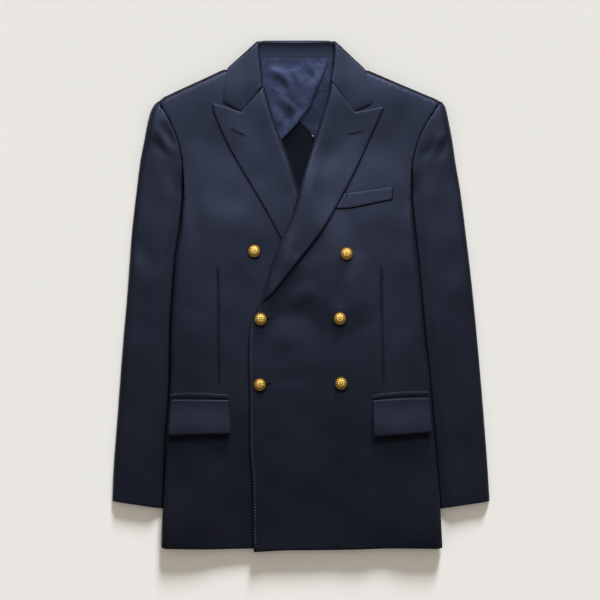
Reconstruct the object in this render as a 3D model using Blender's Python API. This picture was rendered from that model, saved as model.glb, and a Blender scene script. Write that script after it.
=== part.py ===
"""Double-breasted peak-lapel blazer, laid flat on its back with its front up and fastened.

Millimetres throughout, scaled to metres when an object is made. +X is the wearer's left, +Y runs
from hem to collar, +Z is up from the surface that the blazer lies on. "right" and "left" in a name
are the wearer's. Every cut piece is a wall of cloth over its own plan outline: the under face and
the upper face are height fields, stacked in the order in which the layers lie on each other, and
an edge that folds over is brought down in a quarter ellipse.
"""

import math

import bmesh
import bpy
import numpy as np
from mathutils import Vector
from mathutils.geometry import delaunay_2d_cdt

MM = 0.001
SEAM = 0.3            # gap between two pieces that are sewn together
EASE_GAP = 0.8        # air between two layers that only lie on each other

# Cloth walls: worsted wool twill with what is sewn behind it.
BACK_WALL = 2.0
FRONT_WALL = 2.6
SLEEVE_WALL = 3.0
LAPEL_WALL = 2.4
COLLAR_WALL = 2.2
SIDE_WALL = 1.6
LINING_WALL = 1.0
FLAP_WALL = 2.2
JET_WALL = 1.2
WELT_WALL = 2.0

# Loft of the layers.
BODY_GAP = 3.6        # between back and fronts, where nothing is tucked in
SLEEVE_GAP = 3.4      # inside a sleeve that lies free
TUCK_GAP = 5.4        # between back and fronts, over the tucked side panel
SLEEVE_LIFT = 5.7     # what the back rises by over a sleeve that is swept behind it
COLLAR_LIFT = 3.1     # what the back rises by over the collar fall
PAD_FRONT = 11.0      # shoulder pad and canvas, sewn to the front at its shoulder
PAD_BACK = 5.0
PAD_REACH = 78.0

EDGE_ROLL = 6.0       # horizontal radius of the body's side and shoulder edges
SLEEVE_ROLL = 11.0
FOLD_ROLL = 6.0       # lapel along its roll line
FOLD_INSET = 6.4      # the front's edge lies this far inside the fold of its lapel
TURNED_EDGE = 2.2     # radius of a turned and pressed edge

HEM_Y = -394.0
NECK_SEAM_Y = 373.0
STAND_TOP_Y = 393.0
CUFF_Y = (-320.0, -341.0)         # outer end and inner end of the cuff line
SLEEVE_HEAD_Y = 288.0             # above this a sleeve's folded edge runs out into the shoulder point
ARMHOLE_FOOT_Y = 151.0            # where the body starts to lie over the sleeve
SIDE_PANEL_TOP_Y = 98.0
UNDERLAP_X = 78.0                 # hidden front edge of the right front
LATTICE = 32.0

BUTTON_RISE = 6.4

# y, right x, left x of the armhole seams, from the shoulder down to where the body covers them
ARMHOLES = (
    (304.0, -223.5, 218.5),
    (285.0, -211.0, 205.0),
    (263.0, -200.0, 191.5),
    (243.0, -192.0, 183.0),
    (221.0, -187.0, 176.5),
    (194.0, -183.8, 172.3),
    (166.0, -182.7, 172.0),
    (151.0, -183.5, 172.0),
)
# y, right x, left x of the body's side edges
SIDE_EDGES = (
    (151.0, -183.5, 172.0),
    (104.0, -189.0, 177.0),
    (57.0, -196.0, 182.0),
    (0.0, -200.0, 187.5),
    (-60.0, -203.5, 192.5),
    (-115.0, -203.7, 199.0),
    (-161.0, -206.0, 203.0),
    (-214.0, -210.0, 207.5),
    (-286.0, -213.0, 214.0),
    (-349.0, -216.5, 218.5),
    (-394.0, -218.0, 221.0),
)
# y, right x, left x of the sleeves' outer edges, from the shoulder to the cuff
SLEEVE_EDGES = (
    (304.0, -225.0, 220.5),
    (297.0, -231.0, 225.0),
    (289.0, -235.0, 227.5),
    (275.0, -239.0, 230.5),
    (244.0, -245.0, 236.5),
    (213.0, -251.0, 241.0),
    (166.0, -257.0, 249.0),
    (104.0, -264.0, 257.0),
    (10.0, -271.0, 268.0),
    (-83.0, -279.0, 277.0),
    (-177.0, -286.0, 285.0),
    (-271.0, -293.0, 292.0),
    (-320.0, -295.0, 295.0),
)
# y, how far the sleeve runs in under the body, how deep the side panel is tucked in
TUCKS = (
    (151.0, 0.0, 70.0),
    (140.0, 22.0, 72.0),
    (120.0, 52.0, 74.0),
    (90.0, 82.0, 74.0),
    (54.0, 99.0, 70.0),
    (0.0, 97.0, 58.0),
    (-60.0, 92.0, 49.0),
    (-160.0, 80.0, 46.0),
    (-250.0, 71.0, 46.0),
    (-341.0, 62.0, 46.0),
    (-394.0, 62.0, 46.0),
)
# x, y along the shoulder edges, from the neck out
SHOULDER_RIGHT = ((-65.0, 367.0), (-92.0, 356.0), (-111.0, 345.5), (-119.0, 350.0), (-150.0, 338.5),
                  (-189.0, 320.0), (-223.5, 304.0))
SHOULDER_LEFT = ((51.0, 366.0), (78.0, 354.0), (97.0, 342.5), (105.0, 348.0), (147.0, 333.0),
                 (186.0, 317.0), (218.5, 304.0))
# y, x of the lines on which the lapels and the collar fold over
ROLL_RIGHT = (
    (399.0, -67.5), (374.0, -66.0), (346.0, -61.0), (314.0, -53.0), (283.0, -44.0), (252.0, -33.0),
    (210.0, -17.0), (166.0, -4.0), (122.0, 14.0), (90.0, 29.0), (62.0, 43.0), (22.0, 57.0), (-12.0, 67.0),
)
ROLL_LEFT = (
    (399.0, 53.0), (372.0, 52.0), (346.0, 47.0), (314.0, 42.0), (283.0, 33.0), (247.0, 22.0), (216.0, 12.0),
    (171.0, -2.0), (127.0, -14.0), (88.0, -31.0), (46.0, -48.0), (-1.0, -61.0), (-15.0, -67.0),
)
# y, x of the left front's own edge below the lapel
FRONT_EDGE_LEFT = (
    (-24.0, -70.5), (-37.0, -76.0), (-52.0, -80.0), (-76.0, -82.0), (-146.0, -80.5), (-239.0, -80.0),
    (-286.0, -76.5), (-380.0, -75.0), (-399.0, -73.5),
)
# x, y round a lapel: notch, peak, then down the outer edge to the break
LAPEL_RIGHT = (
    (-94.0, 288.0), (-138.0, 302.0), (-137.0, 289.0), (-128.0, 266.0), (-111.0, 230.0), (-95.0, 202.0),
    (-80.0, 177.0), (-64.0, 150.0), (-48.0, 122.0), (-31.0, 91.0), (-14.0, 75.0), (2.0, 58.0), (17.0, 41.0),
    (33.0, 23.0), (48.0, 5.0), (60.0, -9.0),
)
LAPEL_LEFT = (
    (85.0, 288.0), (130.0, 296.0), (123.0, 280.0), (108.0, 246.0), (92.0, 211.0), (76.0, 179.0),
    (61.0, 151.0), (45.0, 122.0), (30.0, 99.0), (14.0, 78.0), (-2.0, 58.0), (-17.0, 41.0), (-33.0, 23.0),
    (-48.0, 5.0), (-61.0, -12.0),
)
GORGE_TOP_RIGHT = (-60.5, 329.0)
GORGE_TOP_LEFT = (47.0, 338.0)

# fold x, fold y, outer x, outer y, turn in degrees: 0 on the fronts, 90 at the neck's outline, 180 under
# the back
COLLAR_RIGHT = (
    (-60.8, 329.8, -94.6, 288.9, 0.0),
    (-61.2, 338.0, -108.0, 296.0, 0.0),
    (-61.8, 346.0, -122.0, 303.5, 0.0),
    (-63.2, 357.0, -120.4, 316.0, 0.0),
    (-64.8, 369.0, -118.6, 331.0, 0.0),
    (-66.0, 381.0, -116.8, 344.0, 0.0),
    (-67.0, 392.0, -114.6, 353.0, 0.0),
    (-67.0, 397.0, -114.6, 355.0, 45.0),
    (-67.0, 399.0, -114.4, 356.0, 90.0),
    (-64.0, 399.0, -112.0, 355.0, 135.0),
    (-60.0, 399.0, -108.0, 353.0, 180.0),
    (-40.0, 399.0, -75.0, 353.5, 180.0),
    (-20.0, 399.0, -38.0, 354.5, 180.0),
    (-7.0, 399.0, -8.0, 355.0, 180.0),
)
COLLAR_LEFT = (
    (47.0, 339.0, 84.6, 288.8, 0.0),
    (48.2, 347.0, 98.0, 295.5, 0.0),
    (49.6, 355.0, 111.8, 301.0, 0.0),
    (50.8, 364.0, 108.6, 315.0, 0.0),
    (51.8, 374.0, 105.0, 329.0, 0.0),
    (52.6, 384.0, 102.6, 341.0, 0.0),
    (53.0, 393.0, 101.0, 350.0, 0.0),
    (53.0, 397.0, 101.0, 352.0, 45.0),
    (52.0, 399.0, 100.5, 353.5, 90.0),
    (48.0, 399.0, 98.0, 353.5, 135.0),
    (44.0, 399.0, 92.0, 353.0, 180.0),
    (28.0, 399.0, 60.0, 353.5, 180.0),
    (10.0, 399.0, 26.0, 354.5, 180.0),
)
COLLAR_FOLD = 3.2      # radius of the collar's fold

# x, y of the lining's edges that show in the neck: the right piece lies on the left one
LINING_EDGE_RIGHT = (
    (44.0, 371.0), (39.0, 355.0), (33.0, 342.0), (27.0, 327.0), (20.0, 311.0), (14.0, 296.0), (6.0, 285.0),
    (-2.0, 275.0), (-9.0, 266.0), (-20.0, 254.0), (-31.0, 244.0), (-40.0, 237.0),
)
LINING_EDGE_LEFT = (
    (-18.0, 371.0), (-16.0, 310.0), (-10.0, 280.0), (-2.0, 272.0), (6.0, 264.0), (14.0, 255.0), (20.0, 246.0),
    (28.0, 237.0),
)
LINING_TUCK = 16.0     # how far the lining runs on under the fold of a lapel

WELT_OUTLINE = ((71.0, 161.5), (92.0, 164.0), (123.0, 168.5), (143.5, 171.0), (142.5, 151.0), (108.0, 144.0),
                (76.0, 137.5), (56.8, 137.0))
# x, y round a hip pocket's flap and its jetted lip, on the right and on the left
FLAP_RIGHT = ((-112.0, -161.0), (-110.5, -185.0), (-108.5, -214.0), (-142.0, -214.0), (-173.0, -215.0),
              (-206.5, -217.0), (-205.0, -190.0), (-202.8, -160.5))
FLAP_LEFT = ((111.5, -161.5), (112.0, -190.0), (112.5, -218.0), (131.0, -217.0), (154.0, -215.0),
             (178.0, -213.0), (204.8, -211.0), (202.5, -190.0), (200.0, -158.0), (154.0, -158.5))
JET_RIGHT = ((-203.0, -152.0), (-181.0, -150.0), (-150.0, -150.0), (-114.0, -153.0), (-112.5, -159.4),
             (-158.0, -156.5), (-197.0, -157.0), (-203.0, -158.5))
JET_LEFT = ((199.0, -148.0), (154.0, -148.0), (123.0, -151.5), (111.0, -154.5), (111.0, -160.2),
            (131.0, -156.8), (154.0, -154.8), (199.0, -153.0))

# x, y of each button, and the front that it is sewn to
BUTTONS = (
    ("button_top_right", -73.0, 71.0, "front_right"),
    ("button_top_left", 71.0, 67.0, "front_left"),
    ("button_middle_right", -63.0, -35.0, "front_left"),
    ("button_middle_left", 60.5, -34.0, "front_left"),
    ("button_low_right", -64.0, -137.0, "front_left"),
    ("button_low_left", 62.5, -135.0, "front_left"),
)
# radius, height of the button's turned profile, from the shank to the crown
BUTTON_PROFILE = (
    (2.6, 0.0), (2.6, 1.2), (9.4, 1.4), (10.5, 2.2), (10.0, 3.1), (8.9, 3.0), (7.4, 4.5), (4.4, 5.9),
)
BUTTON_SIDES = 14

NAVY = (0.0137, 0.0176, 0.0343)
NAVY_COLLAR = (0.0152, 0.0194, 0.0371)
SATIN = (0.0409, 0.0595, 0.1384)
GILT = (0.80, 0.58, 0.24)


def ease(share):
    """Smooth step from 0 to 1."""
    share = np.clip(share, 0.0, 1.0)
    return share * share * (3.0 - 2.0 * share)


def curve_through(rows, column=1):
    """Smooth curve value(y) through a table's rows, which never overshoots between them."""
    knots = np.array(sorted((row[0], row[column]) for row in rows), float)
    y, value = knots.T
    step = np.diff(y)
    slope = np.diff(value) / step
    lean = np.zeros_like(value)
    same_way = slope[1:] * slope[:-1] > 0
    lean[1:-1][same_way] = 2.0 / (1.0 / slope[1:][same_way] + 1.0 / slope[:-1][same_way])
    lean[0], lean[-1] = slope[0], slope[-1]

    def at(query):
        query = np.clip(np.asarray(query, float), y[0], y[-1])
        k = np.clip(np.searchsorted(y, query) - 1, 0, len(step) - 1)
        t = (query - y[k]) / step[k]
        rise = value[k] * (1 + 2 * t) * (1 - t) ** 2 + value[k + 1] * t * t * (3 - 2 * t)
        return rise + step[k] * (lean[k] * t * (1 - t) ** 2 + lean[k + 1] * t * t * (t - 1))

    return at


armhole_x = {"right": curve_through(ARMHOLES, 1), "left": curve_through(ARMHOLES, 2)}
side_x = {"right": curve_through(SIDE_EDGES, 1), "left": curve_through(SIDE_EDGES, 2)}
sleeve_x = {"right": curve_through(SLEEVE_EDGES, 1), "left": curve_through(SLEEVE_EDGES, 2)}
roll_x = {"right": curve_through(ROLL_RIGHT), "left": curve_through(ROLL_LEFT)}
front_edge_x = curve_through(FRONT_EDGE_LEFT)
sleeve_tuck = curve_through(TUCKS, 1)
side_tuck = curve_through(TUCKS, 2)


def resampled(path, step):
    """The same path with points at most `step` apart along it, its two ends kept."""
    path = np.asarray(path, float)
    run = np.r_[0.0, np.cumsum(np.linalg.norm(np.diff(path, axis=0), axis=1))]
    stations = np.linspace(0.0, run[-1], max(2, int(math.ceil(run[-1] / step)) + 1))
    return np.column_stack([np.interp(stations, run, path[:, k]) for k in (0, 1)])


def line_down(curve, y_from, y_to, step=14.0, shift=0.0):
    """Points on x = curve(y) + shift, from one y to another."""
    y = np.linspace(y_from, y_to, max(2, int(math.ceil(abs(y_to - y_from) / step)) + 1))
    return np.column_stack([curve(y) + shift, y])


def armhole_line(side, shift=0.0):
    """The armhole seam, from the shoulder down, at the same stations for each piece that meets there."""
    y = np.array([row[0] for row in ARMHOLES])
    y = np.sort(np.r_[y, (y[1:] + y[:-1]) / 2])[::-1]
    return np.column_stack([armhole_x[side](y) + shift, y])


def fold_line(side, y_from, y_to, shift=0.0):
    """The line on which a lapel folds over, upwards, at stations that its front shares."""
    y = np.arange(-9.0, 400.0, 15.0)
    y = np.r_[y_from, y[(y > y_from + 4.0) & (y < y_to - 4.0)], y_to]
    drawn_in = shift * (1.0 + 0.7 * ease((y - 295.0) / 30.0) + 0.5 * ease((20.0 - y) / 25.0))
    return np.column_stack([roll_x[side](y) + drawn_in, y])


def nearest_on(path, points):
    """Distance of each point to a path, and the direction of the path where it is nearest."""
    start, run = path[:-1], np.diff(path, axis=0)
    length2 = np.maximum((run**2).sum(axis=1), 1e-12)
    away = points[:, None, :] - start[None]
    share = np.clip((away * run[None]).sum(axis=2) / length2[None], 0.0, 1.0)
    gap = away - share[..., None] * run[None]
    distance = np.linalg.norm(gap, axis=2)
    best = distance.argmin(axis=1)
    return distance[np.arange(len(points)), best], (run / np.sqrt(length2)[:, None])[best]


def inside(outline, points):
    """Whether each point lies inside a closed outline."""
    x, y = points[:, 0][:, None], points[:, 1][:, None]
    a, b = outline, np.roll(outline, -1, axis=0)
    crosses = (a[:, 1] > y) != (b[:, 1] > y)
    rise = np.where(np.abs(b[:, 1] - a[:, 1]) < 1e-9, 1e-9, b[:, 1] - a[:, 1])
    return (crosses & (x < a[:, 0] + (y - a[:, 1]) * (b[:, 0] - a[:, 0]) / rise)).sum(axis=1) % 2 == 1


def lattice_points(spacing):
    """Staggered points over the whole blazer, the same for every piece, so that layers facet alike."""
    rows = np.arange(-420.0, 420.0, spacing * 0.87)
    columns = np.arange(-320.0, 320.0, spacing)
    return np.array([(x + (k % 2) * spacing / 2, y) for k, y in enumerate(rows) for x in columns])


# ---- how high the layers lie ----

def inset_from_side(x, y):
    """How far a point lies inside the body's nearer side edge."""
    return np.minimum(x - side_x["right"](y), side_x["left"](y) - x)


def pad(x, y):
    """1 at the shoulder ends, where the pad is thickest, fading out over the pad's reach."""
    points = np.column_stack([np.ravel(x), np.ravel(y)])
    right, _ = nearest_on(np.array([(-219.0, 290.0), (-178.0, 318.0)]), points)
    left, _ = nearest_on(np.array([(214.0, 290.0), (174.0, 316.0)]), points)
    return ease(1.0 - np.minimum(right, left) / PAD_REACH).reshape(np.shape(x))


def over_sleeve(x, y):
    """1 where the back lies on a sleeve, easing out around it."""
    across = 1.0 - ease((inset_from_side(x, y) - sleeve_tuck(y) - 5.0) / 55.0)
    return across * ease((188.0 - y) / 37.0) * ease((y - CUFF_Y[1] + 92.0) / 80.0)


def over_side_panel(x, y):
    """1 where the side panel is tucked in between back and front."""
    across = 1.0 - ease((inset_from_side(x, y) - side_tuck(y) - 7.0) / 55.0)
    return across * ease((160.0 - y) / 55.0)


def back_under(x, y):
    return SLEEVE_LIFT * over_sleeve(x, y) + COLLAR_LIFT * ease((y - 288.0) / 54.0)


def back_over(x, y):
    return back_under(x, y) + BACK_WALL + PAD_BACK * pad(x, y)


def body_under(x, y):
    """Under face of the lower front."""
    tucked = over_side_panel(x, y)
    return back_over(x, y) + BODY_GAP * (1.0 - tucked) + TUCK_GAP * tucked


def front_right_over(x, y):
    return body_under(x, y) + FRONT_WALL + PAD_FRONT * pad(x, y)


def front_left_under(x, y):
    """Under face of the upper front: it rises over the lower front and that front's lapel."""
    underlap_edge = np.where(y > -12.0, roll_x["right"](y), UNDERLAP_X)
    on_front = 1.0 - ease((x - underlap_edge - 6.0) / 60.0)
    points = np.column_stack([np.ravel(x), np.ravel(y)])
    gap, _ = nearest_on(lapel_outline("right"), points)
    gap = np.where(inside(lapel_outline("right"), points), 0.0, gap).reshape(np.shape(x))
    on_lapel = ease(1.0 - (gap - 4.0) / 50.0)
    return body_under(x, y) + (FRONT_WALL + EASE_GAP) * on_front + (LAPEL_WALL + EASE_GAP) * on_lapel


def front_left_over(x, y):
    return front_left_under(x, y) + FRONT_WALL + PAD_FRONT * pad(x, y)


def pressed(x, y):
    """1 where a sleeve lies under the body."""
    out = -inset_from_side(x, y)
    return (1.0 - ease((out - 4.0) / 26.0)) * ease((202.0 - y) / 42.0)


def sleeve_under_over(x, y):
    """Upper face of the under sleeve."""
    return 2.1 + PAD_BACK * pad(x, y)


def top_sleeve_under(x, y):
    return sleeve_under_over(x, y) + 0.5 + (SLEEVE_GAP - 0.5) * (1.0 - pressed(x, y))


def top_sleeve_over(x, y):
    press = pressed(x, y)
    return top_sleeve_under(x, y) + 2.0 * press + SLEEVE_WALL * (1.0 - press) + PAD_FRONT * pad(x, y)


# ---- solids ----

def material(name, colour, roughness, metallic=0.0):
    found = bpy.data.materials.get(name)
    if found:
        return found
    made = bpy.data.materials.new(name)
    made.use_nodes = True
    shader = made.node_tree.nodes["Principled BSDF"]
    shader.inputs["Base Color"].default_value = (*colour, 1.0)
    shader.inputs["Roughness"].default_value = roughness
    shader.inputs["Metallic"].default_value = metallic
    return made


def wool(name):
    return material(name + "_wool", NAVY, 0.82)


def make_object(name, points, faces, surface):
    """One closed object from points in millimetres, its faces turned outwards."""
    mesh = bpy.data.meshes.new(name)
    mesh.from_pydata([tuple(p * MM) for p in np.asarray(points, float)], [], faces)
    shape = bmesh.new()
    shape.from_mesh(mesh)
    bmesh.ops.recalc_face_normals(shape, faces=shape.faces)
    shape.to_mesh(mesh)
    shape.free()
    mesh.shade_smooth()
    mesh.set_sharp_from_angle(angle=math.radians(42.0))
    mesh.materials.append(surface)
    made = bpy.data.objects.new(name, mesh)
    bpy.context.scene.collection.objects.link(made)
    return made


def edge(path, radius=0.0, inset=0.0, foot=None, lip=0.0):
    """One side of a piece's outline. With a radius, the upper face comes down along it: to the height
    `foot(x, y)` where it folds over, `inset` being the wall there, or to `lip` above the under face
    where it is a turned edge. Without one it is cut square, as at a seam."""
    return {"path": np.asarray(path, float), "radius": radius, "inset": inset, "foot": foot, "lip": lip}


def plan_points(edges, spacing):
    """Outline of the piece, and the points inside it: rings along each shaped edge, and the lattice."""
    outline = np.vstack([side["path"][:-1] for side in edges])
    turn = np.cross(outline, np.roll(outline, -1, axis=0)).sum()
    closed = np.vstack([outline, outline[:1]])
    inner = []
    for side in edges:
        if not side["radius"]:
            continue
        run = np.gradient(side["path"], axis=0)
        run /= np.linalg.norm(run, axis=1)[:, None]
        inward = np.column_stack([-run[:, 1], run[:, 0]]) * np.sign(turn)
        for share in ((0.10, 0.4, 1.0) if side["radius"] > 3.0 else (1.0,)):
            depth = share * side["radius"]
            ring = side["path"] + depth * inward
            gap, _ = nearest_on(closed, ring)
            inner.append(ring[inside(outline, ring) & (gap > 0.93 * depth)])
    ringed = np.vstack([closed] + inner)
    grid = lattice_points(spacing)
    gap, _ = nearest_on(closed, grid)
    clear = np.linalg.norm(grid[:, None] - ringed[None], axis=2).min(axis=1)
    inner.append(grid[inside(outline, grid) & (gap > 0.25 * spacing) & (clear > 0.3 * spacing)])
    return outline, np.vstack(inner), np.sign(turn)


def panel(name, edges, under, over, surface, spacing=LATTICE):
    """A closed wall of cloth over its outline. Returns the upper face as (points, triangles)."""
    outline, inner, turn = plan_points(edges, spacing)
    seeds = np.vstack([outline, inner])
    ring = [(k, (k + 1) % len(outline)) for k in range(len(outline))]
    made = delaunay_2d_cdt([Vector(p) for p in seeds], ring, [], 1, 1e-4)
    plan = np.array([tuple(p) for p in made[0]], float)
    triangles = [tuple(face) for face in made[2]]
    x, y = plan.T
    high, low = over(x, y), under(x, y)
    low_plan = plan.copy()
    for side in edges:
        if not side["radius"]:
            continue
        distance, run = nearest_on(side["path"], plan)
        inward = np.column_stack([-run[:, 1], run[:, 0]]) * turn
        across = 1.0 - np.clip(distance / side["radius"], 0.0, 1.0)
        rise = np.sqrt(1.0 - across**2)
        if side["foot"] is None:
            base = np.minimum(low + side["lip"], high)
            high = base + (high - base) * rise
            continue
        foot = side["foot"](x, y)
        high = foot + (high - foot) * rise
        low = foot + (low - foot) * rise
        thinned = side["inset"] * (1.0 - 0.85 * ease((y - SLEEVE_HEAD_Y) / 16.0))
        shift = inward * (thinned * across)[:, None]
        for other in edges:
            if other is side or other["foot"] is not None:
                continue
            gap, along = nearest_on(other["path"], plan)
            on_it = gap < 0.02
            length = (thinned * across)[on_it]
            way = np.sign((shift[on_it] * along[on_it]).sum(axis=1))
            shift[on_it] = along[on_it] * (way * length)[:, None]
        low_plan += shift
    upper = np.column_stack([plan, high])
    lower = np.column_stack([low_plan, low])
    count = len(plan)
    uses = {}
    for face in triangles:
        for a, b in zip(face, face[1:] + face[:1]):
            uses[frozenset((a, b))] = uses.get(frozenset((a, b)), []) + [(a, b)]
    faces = list(triangles) + [tuple(k + count for k in reversed(face)) for face in triangles]
    for found in uses.values():
        if len(found) == 1:
            a, b = found[0]
            faces += [(b, a, a + count), (b, a + count, b + count)]
    make_object(name, np.vstack([upper, lower]), faces, surface)
    return upper, np.array(triangles)


def height_on(face, x, y):
    """Height of a piece's upper face at each (x, y); outside the piece, that of its nearest point."""
    points, triangles = face
    a, b, c = (points[triangles[:, k]] for k in range(3))
    area = (b[:, 0] - a[:, 0]) * (c[:, 1] - a[:, 1]) - (c[:, 0] - a[:, 0]) * (b[:, 1] - a[:, 1])
    heights = []
    for px, py in zip(np.ravel(x), np.ravel(y)):
        v = ((px - a[:, 0]) * (c[:, 1] - a[:, 1]) - (c[:, 0] - a[:, 0]) * (py - a[:, 1])) / area
        w = ((b[:, 0] - a[:, 0]) * (py - a[:, 1]) - (px - a[:, 0]) * (b[:, 1] - a[:, 1])) / area
        hit = np.flatnonzero((v >= -1e-6) & (w >= -1e-6) & (v + w <= 1 + 1e-6))
        if len(hit):
            k = hit[0]
            heights.append(a[k, 2] + v[k] * (b[k, 2] - a[k, 2]) + w[k] * (c[k, 2] - a[k, 2]))
        else:
            heights.append(points[np.hypot(points[:, 0] - px, points[:, 1] - py).argmin(), 2])
    return np.array(heights).reshape(np.shape(x))


def laid_on(face, clearance, reach=4.0):
    """Height field of the under face of what lies on a piece, `clearance` above its highest point near by."""
    def field(x, y):
        ways = ((0, 0), (1, 0), (-1, 0), (0, 1), (0, -1))
        around = [height_on(face, x + dx * reach, y + dy * reach) for dx, dy in ways]
        return np.max(around, axis=0) + clearance
    return field


def strip(name, sections, wall, surface):
    """A closed wall from rows of points across it, thickened half to each side of them."""
    sections = np.asarray(sections, float)
    normal = np.cross(np.gradient(sections, axis=0), np.gradient(sections, axis=1))
    normal *= wall / 2 / np.linalg.norm(normal, axis=2)[..., None]
    rows, columns = sections.shape[:2]
    points = np.vstack([(sections + normal).reshape(-1, 3), (sections - normal).reshape(-1, 3)])
    count = rows * columns
    faces = []
    for i in range(rows - 1):
        for j in range(columns - 1):
            a = i * columns + j
            b, c, d = a + 1, a + columns + 1, a + columns
            faces += [(a, b, c), (a, c, d)]
            faces += [(count + a, count + c, count + b), (count + a, count + d, count + c)]
    rim = [(0, j) for j in range(columns)] + [(i, columns - 1) for i in range(1, rows)]
    rim += [(rows - 1, j) for j in range(columns - 2, -1, -1)] + [(i, 0) for i in range(rows - 2, 0, -1)]
    ring = [i * columns + j for i, j in rim]
    for a, b in zip(ring, ring[1:] + ring[:1]):
        faces += [(a, count + a, count + b), (a, count + b, b)]
    return make_object(name, points, faces, surface)


# ---- the cut pieces ----

def lapel_outline(side):
    """Closed outline of a lapel, its folded edge included."""
    rows, top = (LAPEL_RIGHT, GORGE_TOP_RIGHT) if side == "right" else (LAPEL_LEFT, GORGE_TOP_LEFT)
    fold = line_down(roll_x[side], rows[-1][1], top[1])
    return np.vstack([fold, rows])


def back(side):
    sign = -1.0 if side == "right" else 1.0
    shoulder = SHOULDER_RIGHT if side == "right" else SHOULDER_LEFT
    centre = sign * SEAM / 2
    neck = resampled([(centre, NECK_SEAM_Y), shoulder[0]], 20.0)
    edges = [
        edge(neck),
        edge(resampled(shoulder, 20.0)),
        edge(armhole_line(side)),
        edge(line_down(side_x[side], ARMHOLE_FOOT_Y, HEM_Y + 1.0, 24.0)),
        edge(resampled([(side_x[side](HEM_Y), HEM_Y + 1.0), (centre, HEM_Y + 1.0)], 24.0)),
        edge(resampled([(centre, HEM_Y + 1.0), (centre, NECK_SEAM_Y)], 24.0)),
    ]
    edges[4]["path"][0] = edges[3]["path"][-1]
    panel(f"back_{side}", edges, back_under, back_over, wool(f"back_{side}"))


def side_foot(x, y):
    """Where the fronts' folded edges end: on the back at the shoulder, half way down the tuck at the side."""
    return back_over(x, y) + SEAM + (TUCK_GAP / 2 - SEAM) * ease((160.0 - y) / 55.0)


def front_right():
    fold = fold_line("right", -14.0, 358.0, -FOLD_INSET)
    hidden = resampled([(UNDERLAP_X, HEM_Y), (UNDERLAP_X, -40.0), (fold[0][0] + 3.0, -20.0)], 28.0)
    shoulder = resampled(SHOULDER_RIGHT, 14.0) + (1.2, -1.6)
    body_edge = line_down(side_x["right"], ARMHOLE_FOOT_Y, HEM_Y, 18.0)
    edges = [
        edge(shoulder, EDGE_ROLL, FRONT_WALL, side_foot),
        edge(np.vstack([shoulder[-1:], armhole_line("right")[1:]])),
        edge(body_edge, EDGE_ROLL, FRONT_WALL, side_foot),
        edge(np.vstack([body_edge[-1:], body_edge[-1:] + (2.4, 0.0),
                        resampled([body_edge[-1] + (EDGE_ROLL, 0.0), hidden[0]], 24.0)])),
        edge(hidden),
        edge(np.vstack([hidden[-1:], fold])),
        edge([fold[-1], shoulder[0]]),
    ]
    return panel("front_right", edges, body_under, front_right_over, wool("front_right"))


def front_left():
    fold = fold_line("left", -20.0, 357.0, FOLD_INSET)
    own_edge = line_down(front_edge_x, -399.0, -30.0, 20.0)
    shoulder = resampled(SHOULDER_LEFT, 14.0) + (-1.2, -1.6)
    body_edge = line_down(side_x["left"], ARMHOLE_FOOT_Y, HEM_Y + 6.0, 18.0)
    corner = np.array([(219.5, HEM_Y + 2.6), (214.0, HEM_Y)])
    edges = [
        edge(shoulder, EDGE_ROLL, FRONT_WALL, side_foot),
        edge(np.vstack([shoulder[-1:], armhole_line("left")[1:]])),
        edge(body_edge, EDGE_ROLL, FRONT_WALL, side_foot),
        edge(np.vstack([body_edge[-1:], corner, resampled([(200.0, HEM_Y), own_edge[0]], 24.0)])),
        edge(own_edge, TURNED_EDGE, 0.0, None, 1.3),
        edge(np.vstack([own_edge[-1:], fold])),
        edge([fold[-1], shoulder[0]]),
    ]
    return panel("front_left", edges, front_left_under, front_left_over, wool("front_left"))


def lapel(side, face, foot):
    """The turned-back facing: it lies on its front, and rolls down round the front's edge at the fold."""
    rows, top = (LAPEL_RIGHT, GORGE_TOP_RIGHT) if side == "right" else (LAPEL_LEFT, GORGE_TOP_LEFT)
    fold = fold_line(side, rows[-1][1], top[1])
    outer = resampled(rows[1:], 14.0)
    gorge = resampled([top, rows[0]], 12.0)
    gorge[0] = fold[-1]
    resting = laid_on(face, SEAM, 6.0)

    def roll(x, y):
        """Soft roll of the lapel along its fold, where nothing lies on it."""
        points = np.column_stack([x, y])
        gap, _ = nearest_on(fold, points)
        shown = ease((y - 130.0) / 60.0) if side == "right" else ease((y + 30.0) / 90.0)
        return 2.6 * np.exp(-((gap / 17.0) ** 2)) * shown

    edges = [
        edge(fold, FOLD_ROLL, LAPEL_WALL, foot),
        edge(gorge),
        edge(resampled([rows[0], rows[1]], 14.0), TURNED_EDGE, 0.0, None, 1.2),
        edge(outer, TURNED_EDGE, 0.0, None, 1.2),
        edge([outer[-1], fold[0]]),
    ]
    return panel(f"lapel_{side}", edges, lambda x, y: resting(x, y) + 0.8 * roll(x, y),
                 lambda x, y: resting(x, y) + LAPEL_WALL + roll(x, y), wool(f"lapel_{side}"), 24.0)


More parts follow.
